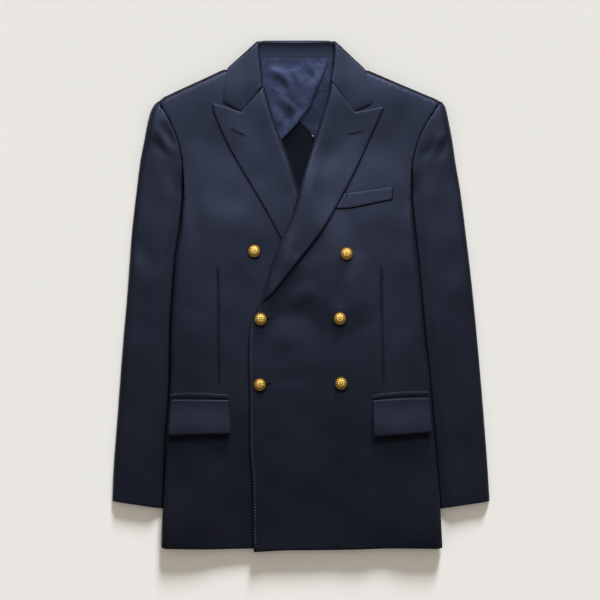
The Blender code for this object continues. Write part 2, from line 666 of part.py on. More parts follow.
def lining(side):
    """Butterfly lining across the back of the neck: the right piece lies on the left one."""
    if side == "right":
        shown = resampled(LINING_EDGE_RIGHT, 14.0)
        hidden = line_down(roll_x["right"], shown[-1][1], 366.0, 16.0, -LINING_TUCK)
        hidden[:, 0] = np.maximum(hidden[:, 0], -60.0)
        rest = 0.5 + LINING_WALL + 0.4
    else:
        shown = resampled(LINING_EDGE_LEFT, 14.0)
        hidden = line_down(roll_x["left"], shown[-1][1], 366.0, 16.0, LINING_TUCK)
        hidden[:, 0] = np.minimum(hidden[:, 0], 47.0)
        rest = 0.5
    top = np.array([(hidden[-1][0], NECK_SEAM_Y - 1.0), (shown[0][0], NECK_SEAM_Y - 1.0)])
    edges = [
        edge(np.vstack([top[1:], shown])),
        edge([shown[-1], hidden[0]]),
        edge(np.vstack([hidden, top[:1]])),
        edge(resampled(top, 20.0)),
    ]
    surface = material(f"lining_{side}_satin", SATIN, 0.38)
    panel(f"lining_{side}", edges, lambda x, y: back_over(x, y) + rest,
          lambda x, y: back_over(x, y) + rest + LINING_WALL, surface)


def sleeves(side):
    """Two-piece sleeve: the under sleeve lies on the surface, the top sleeve arches over it. The inner
    half runs in under the back below the armhole."""
    sign = -1.0 if side == "right" else 1.0
    y_outer = np.r_[304.0, 298.0, 291.0, 283.0, np.linspace(272.0, CUFF_Y[0], 27)]
    outer = np.column_stack([sleeve_x[side](y_outer), y_outer])
    seam = armhole_line(side, sign * 2.0 * SEAM)[:-1]
    y_inner = np.r_[148.0, 140.0, 130.0, np.linspace(118.0, CUFF_Y[1], 18)]
    inner = np.column_stack([side_x[side](y_inner) - sign * sleeve_tuck(y_inner), y_inner])
    cuff = resampled([outer[-1], inner[-1]], 16.0)
    cuff_for_under = cuff.copy()

    def foot(x, y):
        return sleeve_under_over(x, y) + SEAM

    edges = [
        edge(outer, SLEEVE_ROLL, 2.6, foot),
        edge(cuff),
        edge(inner[::-1]),
        edge(np.vstack([inner[:1], seam[::-1], outer[:1]])),
    ]
    panel(f"top_sleeve_{side}", edges, top_sleeve_under, top_sleeve_over, wool(f"top_sleeve_{side}"))
    drawn_in = outer - (sign * 0.6, 0.0)
    cuff_for_under[0] = drawn_in[-1]
    edges = [
        edge(drawn_in[::2] if len(drawn_in) % 2 else np.vstack([drawn_in[::2], drawn_in[-1:]])),
        edge(cuff_for_under),
        edge(inner[::-1]),
        edge(np.vstack([inner[:1], seam[::-1], drawn_in[:1]])),
    ]
    panel(f"under_sleeve_{side}", edges, lambda x, y: 0.0 * x, sleeve_under_over,
          wool(f"under_sleeve_{side}"), 1.6 * LATTICE)


def side_panel(side):
    """Tucked in like a bellows: the lower leg lies on the back, the upper leg returns to the front's edge."""
    sign = -1.0 if side == "right" else 1.0
    sections = []
    for y in np.linspace(SIDE_PANEL_TOP_Y, HEM_Y + 1.5, 17):
        depth = float(side_tuck(y))
        legs = np.linspace(0.0, 1.0, 4)
        lower = [(0.9 + share * (depth - 0.9), 0.0) for share in legs]
        bend = [(depth + 1.1 * math.sin(a), 1.1 - 1.1 * math.cos(a)) for a in np.radians((45, 90, 135))]
        upper = [(6.8 + share * (depth - 6.8), 2.2) for share in legs[::-1]]
        rest = EASE_GAP - 0.2 + SIDE_WALL / 2
        row = []
        for inset, lift in lower + bend + upper:
            x = float(side_x[side](y)) - sign * inset
            row.append((x, y, float(back_over(np.array(x), np.array(y))) + rest + lift))
        sections.append(row)
    strip(f"side_panel_{side}", sections, SIDE_WALL, wool(f"side_panel_{side}"))


def collar_half(rows, over, sign):
    """Sections of one half of the collar fall, from the gorge to the centre back: across the fall from
    its outer edge, then round the fold."""
    silhouette = np.array([rows[8][0] - rows[8][2], rows[8][1] - rows[8][3]], float)
    silhouette /= np.linalg.norm(silhouette)
    inward = np.array([silhouette[1], -silhouette[0]]) * (1.0 if sign < 0 else -1.0)
    if inward[1] > 0:
        inward = -inward
    under_z = 0.25 + COLLAR_WALL / 2
    sections = []
    for fold_x, fold_y, outer_x, outer_y, turn in rows:
        angle = math.radians(turn)
        fold, outer = np.array([fold_x, fold_y]), np.array([outer_x, outer_y])
        across = (fold - outer) / np.linalg.norm(fold - outer)
        fold = fold - COLLAR_FOLD * across
        row = []
        for share in (0.0, 0.06, 0.25, 0.5, 0.75, 1.0):
            x, y = outer + share * (fold - outer)
            rolled = 2.4 * math.exp(-(((1.0 - share) * 52.0 / 20.0) ** 2))
            top = float(over(np.array([x]), np.array([y]))[0]) + SEAM + COLLAR_WALL / 2 + rolled + 0.25
            z = under_z + (top - under_z) * (1.0 + math.cos(angle)) / 2
            row.append(np.array([x, y, z]))
        facing = np.array([*(inward * math.sin(angle)), -math.cos(angle)])
        reach = math.radians(105.0 + 75.0 * turn / 180.0)
        end = row[-1]
        for step in (0.25, 0.5, 0.75, 1.0):
            bend = reach * step
            ahead = COLLAR_FOLD * (math.sin(bend) * np.array([*across, 0.0]) + (1 - math.cos(bend)) * facing)
            row.append(end + ahead)
        sections.append(row)
    return sections


def collar(over):
    """The fall is one strip: on the fronts at both sides, and folded down under the back of the neck."""
    right = collar_half(COLLAR_RIGHT, over, -1.0)
    left = collar_half(COLLAR_LEFT, over, 1.0)
    strip("collar_fall", right + left[::-1], COLLAR_WALL, material("collar_fall_wool", NAVY_COLLAR, 0.8))
    neck = np.array([SHOULDER_RIGHT[0], (0.0, NECK_SEAM_Y), SHOULDER_LEFT[0]])
    seam_z = COLLAR_LIFT + BACK_WALL / 2
    sections = []
    for x in np.r_[np.linspace(-61.5, 0.0, 7), np.linspace(9.4, 47.0, 5)]:
        seam_y = float(np.interp(x, neck[:, 0], neck[:, 1])) + SEAM + 0.1
        shares = (0.0, 0.33, 0.66, 1.0)
        sections.append([(x, seam_y + share * (STAND_TOP_Y - seam_y), seam_z + share) for share in shares])
    strip("collar_stand", sections, BACK_WALL, material("collar_stand_wool", NAVY_COLLAR, 0.8))


def applied(name, outline, face, wall, surface, step=20.0):
    """A pocket piece: laid on a front, its edges turned and pressed."""
    corners = list(outline) + [outline[0]]
    resting = laid_on(face, SEAM, 7.0)
    edges = [edge(resampled(corners[k:k + 2], step), min(TURNED_EDGE, wall * 0.8), 0.0, None, wall * 0.5)
             for k in range(len(outline))]
    return panel(name, edges, resting, lambda x, y: resting(x, y) + wall, surface, 24.0)


def button(name, x, y, face):
    """A domed gilt button on its shank."""
    base = float(laid_on(face, SEAM)(np.array([x]), np.array([y]))[0])
    points = [(x, y, base)]
    for radius, height in BUTTON_PROFILE:
        for k in range(BUTTON_SIDES):
            angle = 2 * math.pi * k / BUTTON_SIDES
            points.append((x + radius * math.cos(angle), y + radius * math.sin(angle), base + height))
    points.append((x, y, base + BUTTON_RISE))
    rings = len(BUTTON_PROFILE)
    faces = []
    for k in range(BUTTON_SIDES):
        follow = (k + 1) % BUTTON_SIDES
        faces.append((0, 1 + follow, 1 + k))
        for ring in range(rings - 1):
            a, b = 1 + ring * BUTTON_SIDES + k, 1 + ring * BUTTON_SIDES + follow
            faces += [(a, b, b + BUTTON_SIDES), (a, b + BUTTON_SIDES, a + BUTTON_SIDES)]
        last = 1 + (rings - 1) * BUTTON_SIDES
        faces.append((last + k, last + follow, len(points) - 1))
    make_object(name, np.array(points), faces, material("gilt_brass", GILT, 0.28, 1.0))


def build_blazer():
    for side in ("right", "left"):
        back(side)
        sleeves(side)
        side_panel(side)
        lining(side)
    fronts = {"front_right": front_right(), "front_left": front_left()}
    lapel("right", fronts["front_right"], body_under)
    lapel("left", fronts["front_left"], front_left_under)

    def shoulder_over(x, y):
        """Top of the fronts as if their shoulder edges stayed level: the collar passes over those."""
        level = np.where(x < 0, front_right_over(x, y), front_left_over(x, y))
        built = height_on(fronts["front_right" if x[0] < 0 else "front_left"], x, y)
        return np.maximum(level, built) + SEAM

    collar(shoulder_over)
    applied("breast_welt", WELT_OUTLINE, fronts["front_left"], WELT_WALL, wool("breast_welt"))
    applied("pocket_flap_right", FLAP_RIGHT, fronts["front_right"], FLAP_WALL, wool("pocket_flap_right"))
    applied("pocket_flap_left", FLAP_LEFT, fronts["front_left"], FLAP_WALL, wool("pocket_flap_left"))
    applied("pocket_jet_right", JET_RIGHT, fronts["front_right"], JET_WALL, wool("pocket_jet_right"))
    applied("pocket_jet_left", JET_LEFT, fronts["front_left"], JET_WALL, wool("pocket_jet_left"))
    for name, x, y, front in BUTTONS:
        button(name, x, y, fronts[front])


for leftover in list(bpy.data.objects):
    bpy.data.objects.remove(leftover, do_unlink=True)
build_blazer()
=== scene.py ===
"""Double-breasted navy blazer, laid flat on its back and fastened, seen from straight above.

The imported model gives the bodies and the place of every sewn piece; this script gives the cloth its
folds, edges, stitches and finish. Millimetres are used for sizes, and metres only in finished meshes.
+X is the wearer's left, +Y runs from hem to collar, +Z is up. "right" and "left" are the wearer's.
"""

import math

import bmesh
import bpy
import numpy as np
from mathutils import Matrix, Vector
from mathutils.bvhtree import BVHTree
from mathutils.geometry import delaunay_2d_cdt


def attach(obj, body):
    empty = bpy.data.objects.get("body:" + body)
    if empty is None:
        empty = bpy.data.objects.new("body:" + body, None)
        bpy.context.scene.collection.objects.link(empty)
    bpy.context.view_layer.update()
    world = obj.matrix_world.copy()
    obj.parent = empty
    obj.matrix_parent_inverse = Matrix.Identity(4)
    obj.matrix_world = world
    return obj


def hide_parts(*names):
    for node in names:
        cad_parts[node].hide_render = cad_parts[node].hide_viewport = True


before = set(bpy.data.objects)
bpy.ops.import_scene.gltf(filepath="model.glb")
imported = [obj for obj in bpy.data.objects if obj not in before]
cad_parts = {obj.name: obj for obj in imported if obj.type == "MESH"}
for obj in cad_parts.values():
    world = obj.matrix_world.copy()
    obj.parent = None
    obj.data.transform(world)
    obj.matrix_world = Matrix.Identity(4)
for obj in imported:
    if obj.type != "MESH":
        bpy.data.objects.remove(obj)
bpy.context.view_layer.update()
MM = 0.001

# ---- Camera ----
# A short telephoto straight above the blazer, so that the two sides are seen alike. At the height of
# the cloth it takes in a square of 936 mm.
LENS, SENSOR, FIELD = 120.0, 36.0, 936.0
CENTRE_X, CENTRE_Y, CLOTH_HEIGHT = -1.56, -5.46, 11.0


def added(name, data):
    """A new object in the scene."""
    made = bpy.data.objects.new(name, data)
    bpy.context.scene.collection.objects.link(made)
    return made


camera = added("camera", bpy.data.cameras.new("camera"))
camera.data.lens = LENS
camera.data.sensor_width = SENSOR
camera.location = (CENTRE_X * MM, CENTRE_Y * MM, (CLOTH_HEIGHT + FIELD * LENS / SENSOR) * MM)
camera.data.clip_end = 20.0
bpy.context.scene.camera = camera

# ---- Back, in two halves ----
# Worsted wool twill, cut in two halves and seamed down the centre. It lies lowest, straight on the
# surface, and lifts a little over the sleeves, which are swept in behind it, and over the collar.
SEAM = 0.3                 # gap between two pieces that are sewn together
BACK_WALL = 2.0
SLEEVE_LIFT, SLEEVE_EASING = 5.7, 150.0    # height of the back over a sleeve, width of the way down
COLLAR_LIFT = 3.1
PAD_FRONT, PAD_BACK, PAD_REACH = 4.0, 3.0, 120.0
PAD_TOPS = ((-219.0, 290.0), (-178.0, 318.0)), ((214.0, 290.0), (174.0, 316.0))
HEM_Y, NECK_SEAM_Y = -394.0, 373.0
CUFF_Y = (-320.0, -341.0)  # outer end and inner end of the cuff line
ARMHOLE_FOOT_Y = 151.0     # from here down the body lies over the sleeve
SPACING = 6.0              # of the points that the cloth is shaped by
CREASE_REACH = 2.2         # shade is painted as far as this to each side of a crease

# y, right x, left x of the armhole seams, from the shoulder down to where the body covers them
ARMHOLES = (
    (304, -223.5, 218.5), (285, -211, 205), (263, -200, 191.5), (243, -192, 183), (221, -187, 176.5),
    (194, -183.8, 172.3), (166, -182.7, 172), (151, -183.5, 172),
)
# y, right x, left x of the body's side edges
SIDE_EDGES = (
    (151, -183.5, 172), (104, -189, 177), (57, -196, 182), (0, -200, 187.5), (-60, -203.5, 192.5),
    (-115, -203.7, 199), (-161, -206, 203), (-214, -210, 207.5), (-286, -213, 214), (-349, -216.5, 218.5),
    (-394, -218, 221),
)
TUCK_TOP = (160, 105)      # y between which the body spreads for the side panels that are tucked in
# y, how far the sleeve runs in under the body, how deep the side panel is tucked in
TUCKS = (
    (151, 0, 70), (140, 22, 72), (120, 52, 74), (90, 82, 74), (54, 99, 70), (0, 97, 58), (-60, 92, 49),
    (-160, 80, 46), (-250, 71, 46), (-341, 62, 46), (-394, 62, 46),
)
# x, y along the shoulder edges, from the neck out
SHOULDERS = {
    "right": (
        (-65, 367), (-92, 359), (-110, 353), (-119, 355.6), (-127, 351.8), (-150, 341), (-189, 323.4),
        (-214, 311.6), (-223.5, 304),
    ),
    "left": (
        (51, 366), (78, 357), (95, 351), (103, 354.2), (110, 351.2), (147, 335.2), (186, 318.8),
        (211, 308.4), (218.5, 304),
    ),
}
# Soft folds: x, y of three points along each, its half width, and its height (below 0 for a trough)
BACK_FOLDS = (
    (-150, 60, -120, -30, -130, -150, 26, 0.8), (120, 40, 132, -60, 118, -180, 24, 0.7),
    (-60, 250, -30, 200, -34, 120, 20, -0.5), (40, 240, 36, 190, 50, 110, 22, 0.6),
    (-90, -240, -80, -300, -96, -370, 22, 0.6), (80, -230, 96, -300, 84, -380, 20, -0.5),
)
# length, direction, shift and share of the waves of slack cloth
WAVES = (
    (210, 0.4, 0.3, 1), (133, 1.9, 1.7, 0.7), (91, 2.8, 4.1, 0.5), (61, 1.1, 2.2, 0.35), (47, 2.3, 5.3, 0.22),
)
CENTRE_ALLOWANCE = 8.0     # width of the pressed-open seam allowance on the inside
TWILL_ANGLE = math.radians(27.0)
TWILL_LINE = 0.0012        # metres from one line of the twill to the next
WAVES_IN_A_METRE = 0.314   # scale at which a wave texture repeats once a metre
# The two halves of the blazer, with the sign of x on each
SIDES = (("right", -1.0), ("left", 1.0))


def ease(share):
    """Smooth step from 0 to 1."""
    share = np.clip(share, 0.0, 1.0)
    return share * share * (3.0 - 2.0 * share)


def fade(y, start, end):
    """Eases from 0 at y = start to 1 at y = end, upwards or downwards."""
    return ease((y - start) / (end - start))


def curve_through(rows, column=1):
    """Smooth curve value(y) through a table's rows, which never overshoots between them."""
    y, value = np.array(sorted((row[0], row[column]) for row in rows), float).T
    step = np.diff(y)
    slope = np.diff(value) / step
    lean = np.zeros_like(value)
    same_way = slope[1:] * slope[:-1] > 0
    lean[1:-1][same_way] = 2.0 / (1.0 / slope[1:][same_way] + 1.0 / slope[:-1][same_way])
    lean[0], lean[-1] = slope[0], slope[-1]

    def at(query):
        query = np.clip(np.asarray(query, float), y[0], y[-1])
        k = np.clip(np.searchsorted(y, query) - 1, 0, len(step) - 1)
        t = (query - y[k]) / step[k]
        rise = value[k] * (1 + 2 * t) * (1 - t) ** 2 + value[k + 1] * t * t * (3 - 2 * t)
        return rise + step[k] * (lean[k] * t * (1 - t) ** 2 + lean[k + 1] * t * t * (t - 1))

    return at


def stations(start, end, step):
    """Even stations from start to end, at most `step` apart."""
    return np.linspace(start, end, max(2, int(math.ceil(abs(end - start) / step)) + 1))


def distances_along(path):
    """How far along a path each of its points lies."""
    return np.r_[0.0, np.cumsum(np.linalg.norm(np.diff(path, axis=0), axis=1))]


def resampled(path, step=SPACING):
    """The same path with points at most `step` apart along it, its two ends kept."""
    path = np.asarray(path, float)
    run = distances_along(path)
    return np.column_stack([np.interp(stations(0.0, run[-1], step), run, path[:, k]) for k in (0, 1)])


def rounded(path, step=SPACING):
    """A smooth line through the path's points, resampled."""
    path = np.asarray(path, float)
    run = distances_along(path)
    curves = [curve_through(np.column_stack([run, path[:, k]])) for k in (0, 1)]
    return np.column_stack([curve(stations(0.0, run[-1], step)) for curve in curves])


def line_down(curve, y_from, y_to, step=SPACING, shift=0.0):
    """Points on x = curve(y) + shift, from one y to another."""
    y = stations(y_from, y_to, step)
    return np.column_stack([curve(y) + shift, y])


def leftward(path):
    """The way to the left of a path, at each of its points."""
    run = np.gradient(path, axis=0)
    run /= np.linalg.norm(run, axis=1)[:, None]
    return np.column_stack([-run[:, 1], run[:, 0]])


def nearest_on(path, points):
    """Distance of each point to a path, the way the path runs there, and how far along it that is, 0 to 1."""
    start, run = path[:-1], np.diff(path, axis=0)
    length = np.maximum(np.linalg.norm(run, axis=1), 1e-9)
    distance = np.empty(len(points))
    way = np.empty((len(points), 2))
    along = np.empty(len(points))
    before = np.r_[0.0, np.cumsum(length)]
    for first in range(0, len(points), 4000):
        some = slice(first, first + 4000)
        away = points[some, None, :] - start[None]
        share = np.clip((away * run[None]).sum(axis=2) / length[None] ** 2, 0.0, 1.0)
        gap = np.linalg.norm(away - share[..., None] * run[None], axis=2)
        best = gap.argmin(axis=1)
        rows = np.arange(len(best))
        distance[some] = gap[rows, best]
        way[some] = (run / length[:, None])[best]
        along[some] = (before[best] + share[rows, best] * length[best]) / before[-1]
    return distance, way, along


def gap_to(path, x, y):
    """Distance of each point to a path."""
    return nearest_on(path, np.column_stack([np.ravel(x), np.ravel(y)]))[0].reshape(np.shape(x))


def inside(outline, points):
    """Whether each point lies inside a closed outline."""
    x, y = points[:, 0][:, None], points[:, 1][:, None]
    a, b = outline, np.roll(outline, -1, axis=0)
    crosses = (a[:, 1] > y) != (b[:, 1] > y)
    rise = np.where(np.abs(b[:, 1] - a[:, 1]) < 1e-9, 1e-9, b[:, 1] - a[:, 1])
    return (crosses & (x < a[:, 0] + (y - a[:, 1]) * (b[:, 0] - a[:, 0]) / rise)).sum(axis=1) % 2 == 1


def folds_at(x, y, rows):
    """Rise of the cloth over its soft folds. Each fades out towards both of its ends."""
    points = np.column_stack([np.ravel(x), np.ravel(y)])
    rise = np.zeros(len(points))
    t = np.linspace(0.0, 1.0, 13)[:, None]
    for *way, width, height in rows:
        a, b, c = np.array(way, float).reshape(3, 2)
        b = 2.0 * b - (a + c) / 2.0
        bent = a * (1 - t) ** 2 + 2 * b * t * (1 - t) + c * t * t
        distance, _, along = nearest_on(bent, points)
        rise += height * np.exp(-((distance / width) ** 2)) * np.sin(np.pi * along) ** 0.8
    return rise.reshape(np.shape(x))


def slack(x, y, size=0.35):
    """The slight waviness that pressed cloth keeps."""
    wave = np.zeros_like(np.asarray(x, float))
    for length, turn, shift, share in WAVES:
        wave += share * np.sin((x * math.cos(turn) + y * math.sin(turn)) * 2 * math.pi / length + shift)
    return size * wave


def edge(path, roll=0.0, inset=0.0, foot=None, lip=0.0, drop=0.0):
    """One side of a piece's outline. Over a width `roll` the upper face comes down to it: to the height
    `foot(x, y)` where the cloth folds over, `inset` being the wall there; to `lip` above the under face
    where it is turned under and pressed; or by `drop`, where it is sewn to the next piece."""
    path = np.asarray(path, float)
    return {"path": path, "roll": roll, "inset": inset, "foot": foot, "lip": lip, "drop": drop}


def cloth_points(edges, spacing, grooves):
    """Outline of the piece and the points inside it: along each shaped edge and groove, and a lattice."""
    outline = np.vstack([side["path"][:-1] for side in edges])
    turn = np.sign(np.cross(outline, np.roll(outline, -1, axis=0)).sum())
    closed = np.vstack([outline, outline[:1]])
    inner = []
    for side in edges:
        if not side["roll"]:
            continue
        inward = leftward(side["path"]) * turn
        shares = (0.05, 0.17, 0.36, 0.65, 1.0) if side["roll"] > 4.0 else (0.2, 0.55, 1.0)
        for share in shares:
            depth = share * side["roll"]
            ring = side["path"] + depth * inward
            inner.append(ring[inside(outline, ring) & (nearest_on(closed, ring)[0] > 0.93 * depth)])
    for path, width, _ in grooves:
        path = resampled(path, spacing * 0.8)
        across = leftward(path)
        for share in (-1.6, -0.6, 0.0, 0.6, 1.6):
            row = path + share * width * across
            inner.append(row[inside(outline, row) & (nearest_on(closed, row)[0] > 1.0)])
    ringed = np.vstack([closed] + inner)
    low, high = outline.min(axis=0), outline.max(axis=0)
    rows = np.arange(low[1] + spacing / 3, high[1], spacing * 0.87)
    grid = np.array([(x + (k % 2) * spacing / 2, y) for k, y in enumerate(rows)
                     for x in np.arange(low[0] - spacing, high[0], spacing)])
    grid = grid[inside(outline, grid)]
    grid = grid[nearest_on(closed, grid)[0] > 0.4 * spacing]
    clear = np.concatenate([np.linalg.norm(grid[k:k + 2000, None] - ringed[None], axis=2).min(axis=1)
                            for k in range(0, len(grid), 2000)])
    inner.append(grid[clear > 0.45 * spacing])
    return outline, np.vstack(inner), turn


def finished(name, points, faces, surface, grain=0.0):
    """One closed piece from points in millimetres, with the cloth's own coordinates along its grain."""
    mesh = bpy.data.meshes.new(name)
    mesh.from_pydata((np.asarray(points, float) * MM).tolist(), [], faces)
    shape = bmesh.new()
    shape.from_mesh(mesh)
    bmesh.ops.recalc_face_normals(shape, faces=shape.faces)
    woven = shape.loops.layers.uv.new("cloth")
    c, s = math.cos(math.radians(grain)), math.sin(math.radians(grain))
    for face in shape.faces:
        for loop in face.loops:
            x, y, z = loop.vert.co
            loop[woven].uv = (x * c + y * s + 0.7 * z, y * c - x * s + 0.7 * z)
    shape.to_mesh(mesh)
    shape.free()
    mesh.shade_smooth()
    mesh.set_sharp_from_angle(angle=math.radians(50.0))
    mesh.materials.append(surface)
    return added(name, mesh)


def cloth_piece(name, edges, under, over, surface, grain=0.0, spacing=SPACING, grooves=()):
    """A closed wall of cloth over its outline, between two height fields."""
    outline, inner, turn = cloth_points(edges, spacing, grooves)
    seeds = np.vstack([outline, inner])
    ring = [(k, (k + 1) % len(outline)) for k in range(len(outline))]
    made = delaunay_2d_cdt([Vector(p) for p in seeds], ring, [], 1, 1e-4)
    plan = np.array([tuple(p) for p in made[0]], float)
    triangles = [tuple(face) for face in made[2]]
    x, y = plan.T
    high, low = over(x, y), under(x, y)
    for path, width, depth in grooves:
        gap, _, along = nearest_on(np.asarray(path, float), plan)
        high = high - depth * np.exp(-((gap / width) ** 2)) * ease(12.0 * along) * ease(12.0 * (1.0 - along))
    low_plan = plan.copy()
    for side in edges:
        if not side["roll"]:
            continue
        distance, run, _ = nearest_on(side["path"], plan)
        across = 1.0 - np.clip(distance / side["roll"], 0.0, 1.0)
        rise = np.sqrt(1.0 - across**2)
        if side["drop"]:
            high = high - side["drop"] * (1.0 - rise)
            continue
        if side["foot"] is None:
            base = np.minimum(low + side["lip"], high)
            high = base + (high - base) * rise
            continue
        foot = side["foot"](x, y)
        high = foot + (high - foot) * rise
        low = foot + (low - foot) * rise
        # pressed thinner at the shoulder, and held there on the neighbouring edges
        drawn_in = side["inset"] * (1.0 - 0.85 * fade(y, 288, 304)) * across
        shift = np.column_stack([-run[:, 1], run[:, 0]]) * turn * drawn_in[:, None]
        for other in edges:
            if other is side or other["foot"] is not None:
                continue
            gap, its_run, _ = nearest_on(other["path"], plan)
            on_it = gap < 0.02
            sense = np.sign((shift[on_it] * its_run[on_it]).sum(axis=1))
            shift[on_it] = its_run[on_it] * (sense * drawn_in[on_it])[:, None]
        low_plan += shift
    count = len(plan)
    uses = {}
    for face in triangles:
        for a, b in zip(face, face[1:] + face[:1]):
            uses.setdefault((min(a, b), max(a, b)), []).append((a, b))
    faces = triangles + [tuple(k + count for k in reversed(face)) for face in triangles]
    for found in uses.values():
        if len(found) == 1:
            a, b = found[0]
            faces += [(b, a, a + count), (b, a + count, b + count)]
    points = np.vstack([np.column_stack([plan, high]), np.column_stack([low_plan, low])])
    piece = finished(name, points, faces, surface, grain)
    piece["cut"] = cut_size(outline, grain)
    return piece


def cut_size(outline, grain):
    """Width and length of the cut along its grain, and its area, in metres."""
    c, s = math.cos(math.radians(grain)), math.sin(math.radians(grain))
    u, v = outline[:, 0] * c + outline[:, 1] * s, outline[:, 1] * c - outline[:, 0] * s
    area = abs(np.cross(outline, np.roll(outline, -1, axis=0)).sum()) / 2
    return [float(np.ptp(u)) * MM, float(np.ptp(v)) * MM, float(area) * MM * MM]


def recolour_edges(piece, surface, level=0.7, crease=None):
    """The faces where the piece bends down at its edges, and those along a crease, take the second material
    `surface`; where that is the darker, matt wrong-side wool, it is painted shade: dark edge lines, and the
    shade of a crevice along the crease.
    """
    piece.data.materials.append(surface)
    centres = np.array([tuple(face.center) for face in piece.data.polygons])[:, :2] / MM
    dull = np.array([face.normal.z < level for face in piece.data.polygons])
    if crease is not None:
        dull |= nearest_on(crease, centres)[0] < CREASE_REACH
    piece.data.polygons.foreach_set("material_index", dull.astype(np.int32))


def sewn_in(piece, node):
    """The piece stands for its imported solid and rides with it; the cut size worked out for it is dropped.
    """
    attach(piece, "root")
    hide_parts(node)
    del piece["cut"]


def srgb(code):
    """A linear colour from its sRGB hex value."""
    parts = [int(code[k:k + 2], 16) / 255 for k in (1, 3, 5)]
    return tuple(c / 12.92 if c <= 0.04045 else ((c + 0.055) / 1.055) ** 2.4 for c in parts) + (1.0,)


def add_node(tree, kind, inputs=None, **settings):
    """Adds a node with its settings; an input is a value, or the output that it is linked to."""
    made = tree.nodes.new(kind)
    for key, value in settings.items():
        setattr(made, key, value)
    for key, value in (inputs or {}).items():
        if isinstance(value, bpy.types.NodeSocket):
            tree.links.new(value, made.inputs[key])
        else:
            made.inputs[key].default_value = value
    return made


def new_material(name, settings):
    """A new material, and its shader with the values that are the same all over."""
    made = bpy.data.materials.new(name)
    made.use_nodes = True
    shader = made.node_tree.nodes["Principled BSDF"]
    for socket, value in settings.items():
        shader.inputs[socket].default_value = value
    return made, shader


def worsted_wool(name, dark, mid, light, gloss=0.44):
    """Worsted wool in a fine twill, dyed navy: matt, with a faint bloom of fibre ends at grazing angles,
    and a slight unevenness of the dye. The twill lines are 1.2 mm apart, twice the real width, so that
    they show from near by."""
    made, shader = new_material(name, {
        "Roughness": 0.52, "Specular IOR Level": gloss, "Specular Tint": srgb("#b6c8fb"),
        "Sheen Weight": 0.06, "Sheen Roughness": 0.5, "Sheen Tint": srgb("#8f9cc4")})
    tree = made.node_tree
    place = add_node(tree, "ShaderNodeUVMap", uv_map="cloth").outputs["UV"]
    turned = add_node(tree, "ShaderNodeMapping", {"Vector": place, "Rotation": (0.0, 0.0, TWILL_ANGLE)})
    twill = add_node(tree, "ShaderNodeTexWave", {
        "Vector": turned.outputs["Vector"], "Scale": WAVES_IN_A_METRE / TWILL_LINE, "Distortion": 1.1,
        "Detail": 2.0, "Detail Scale": 3.0}, bands_direction="Y")
    yarn = add_node(tree, "ShaderNodeTexNoise", {
        "Vector": place, "Scale": 1500.0, "Detail": 3.0, "Roughness": 0.65})
    dye = add_node(tree, "ShaderNodeTexNoise", {
        "Vector": place, "Scale": 9.0, "Detail": 4.0, "Roughness": 0.5})
    fleck = add_node(tree, "ShaderNodeMath", {
        0: yarn.outputs["Fac"], 1: twill.outputs["Fac"]}, operation="ADD")
    tone = add_node(tree, "ShaderNodeMath", {
        0: fleck.outputs[0], 1: 0.30, 2: dye.outputs["Fac"]}, operation="MULTIPLY_ADD")
    ramp = add_node(tree, "ShaderNodeValToRGB", {"Fac": tone.outputs[0]})
    ramp.color_ramp.elements.new(0.5)
    for stop, position, code in zip(ramp.color_ramp.elements, (0.40, 0.80, 1.0), (dark, mid, light)):
        stop.position, stop.color = position, srgb(code)
    weave = add_node(tree, "ShaderNodeBump", {
        "Height": fleck.outputs[0], "Strength": 0.35, "Distance": 0.00012})
    tree.links.new(ramp.outputs["Color"], shader.inputs["Base Color"])
    tree.links.new(weave.outputs["Normal"], shader.inputs["Normal"])
    return made


wool_outside = worsted_wool("navy worsted twill", "#0e0d12", "#111015", "#17161d")
# The wrong side is a darker, matt copy of the twill: its darkness is partly painted shade, on the back's
# inner face in the neck and on the bending edges it is put on.
wool_wrong_side_and_shade = worsted_wool("navy twill, wrong side, darkened as painted shade", "#09090c", "#0b0b0f", "#101015", 0.08)

armhole_x = {side: curve_through(ARMHOLES, column) for column, (side, _) in enumerate(SIDES, 1)}
side_x = {side: curve_through(SIDE_EDGES, column) for column, (side, _) in enumerate(SIDES, 1)}
sleeve_tuck = curve_through(TUCKS, 1)
side_tuck = curve_through(TUCKS, 2)


def armhole_line(side):
    """The armhole seam, from the shoulder down."""
    return line_down(armhole_x[side], ARMHOLES[0][0], ARMHOLE_FOOT_Y)


def inset_from_side(x, y):
    """How far a point lies inside the body's nearer side edge."""
    return np.minimum(x - side_x["right"](y), side_x["left"](y) - x)


def pad(x, y):
    """1 at the shoulder ends, where the pad is thickest, fading out over the pad's reach."""
    gaps = [gap_to(np.array(top), x, y) for top in PAD_TOPS]
    return ease(1.0 - np.minimum(*gaps) / PAD_REACH)


def over_sleeve(x, y):
    """1 where the back lies on a sleeve, easing out around it and, above, towards the armhole."""
    reach = sleeve_tuck(y)
    reach = np.where(y > 60.0, np.maximum(reach, 95.0 * fade(y, 320, 60)), reach)
    across = 1.0 - ease((inset_from_side(x, y) - reach + 30.0) / SLEEVE_EASING)
    return across * fade(y, 300, 120) * ease((y - CUFF_Y[1] + 92.0) / 80.0)


def back_under(x, y):
    """The back rises over the sleeves, and over the collar, where it is folded down behind the neck."""
    beside = 1.0 - 0.6 * ease((np.abs(x) - 115.0) / 90.0)
    return SLEEVE_LIFT * over_sleeve(x, y) + COLLAR_LIFT * beside * fade(y, 222, 346)


def back_over(x, y):
    return back_under(x, y) + BACK_WALL + PAD_BACK * pad(x, y)


def back_inside(x, y):
    """The back's inner face: the seam allowances are pressed open along the centre seam."""
    allowance = 0.4 * ease((CENTRE_ALLOWANCE - np.abs(x)) / 1.5) * fade(y, 355, 345)
    return back_over(x, y) + allowance + 0.5 * folds_at(x, y, BACK_FOLDS) * fade(y, 40, 80)


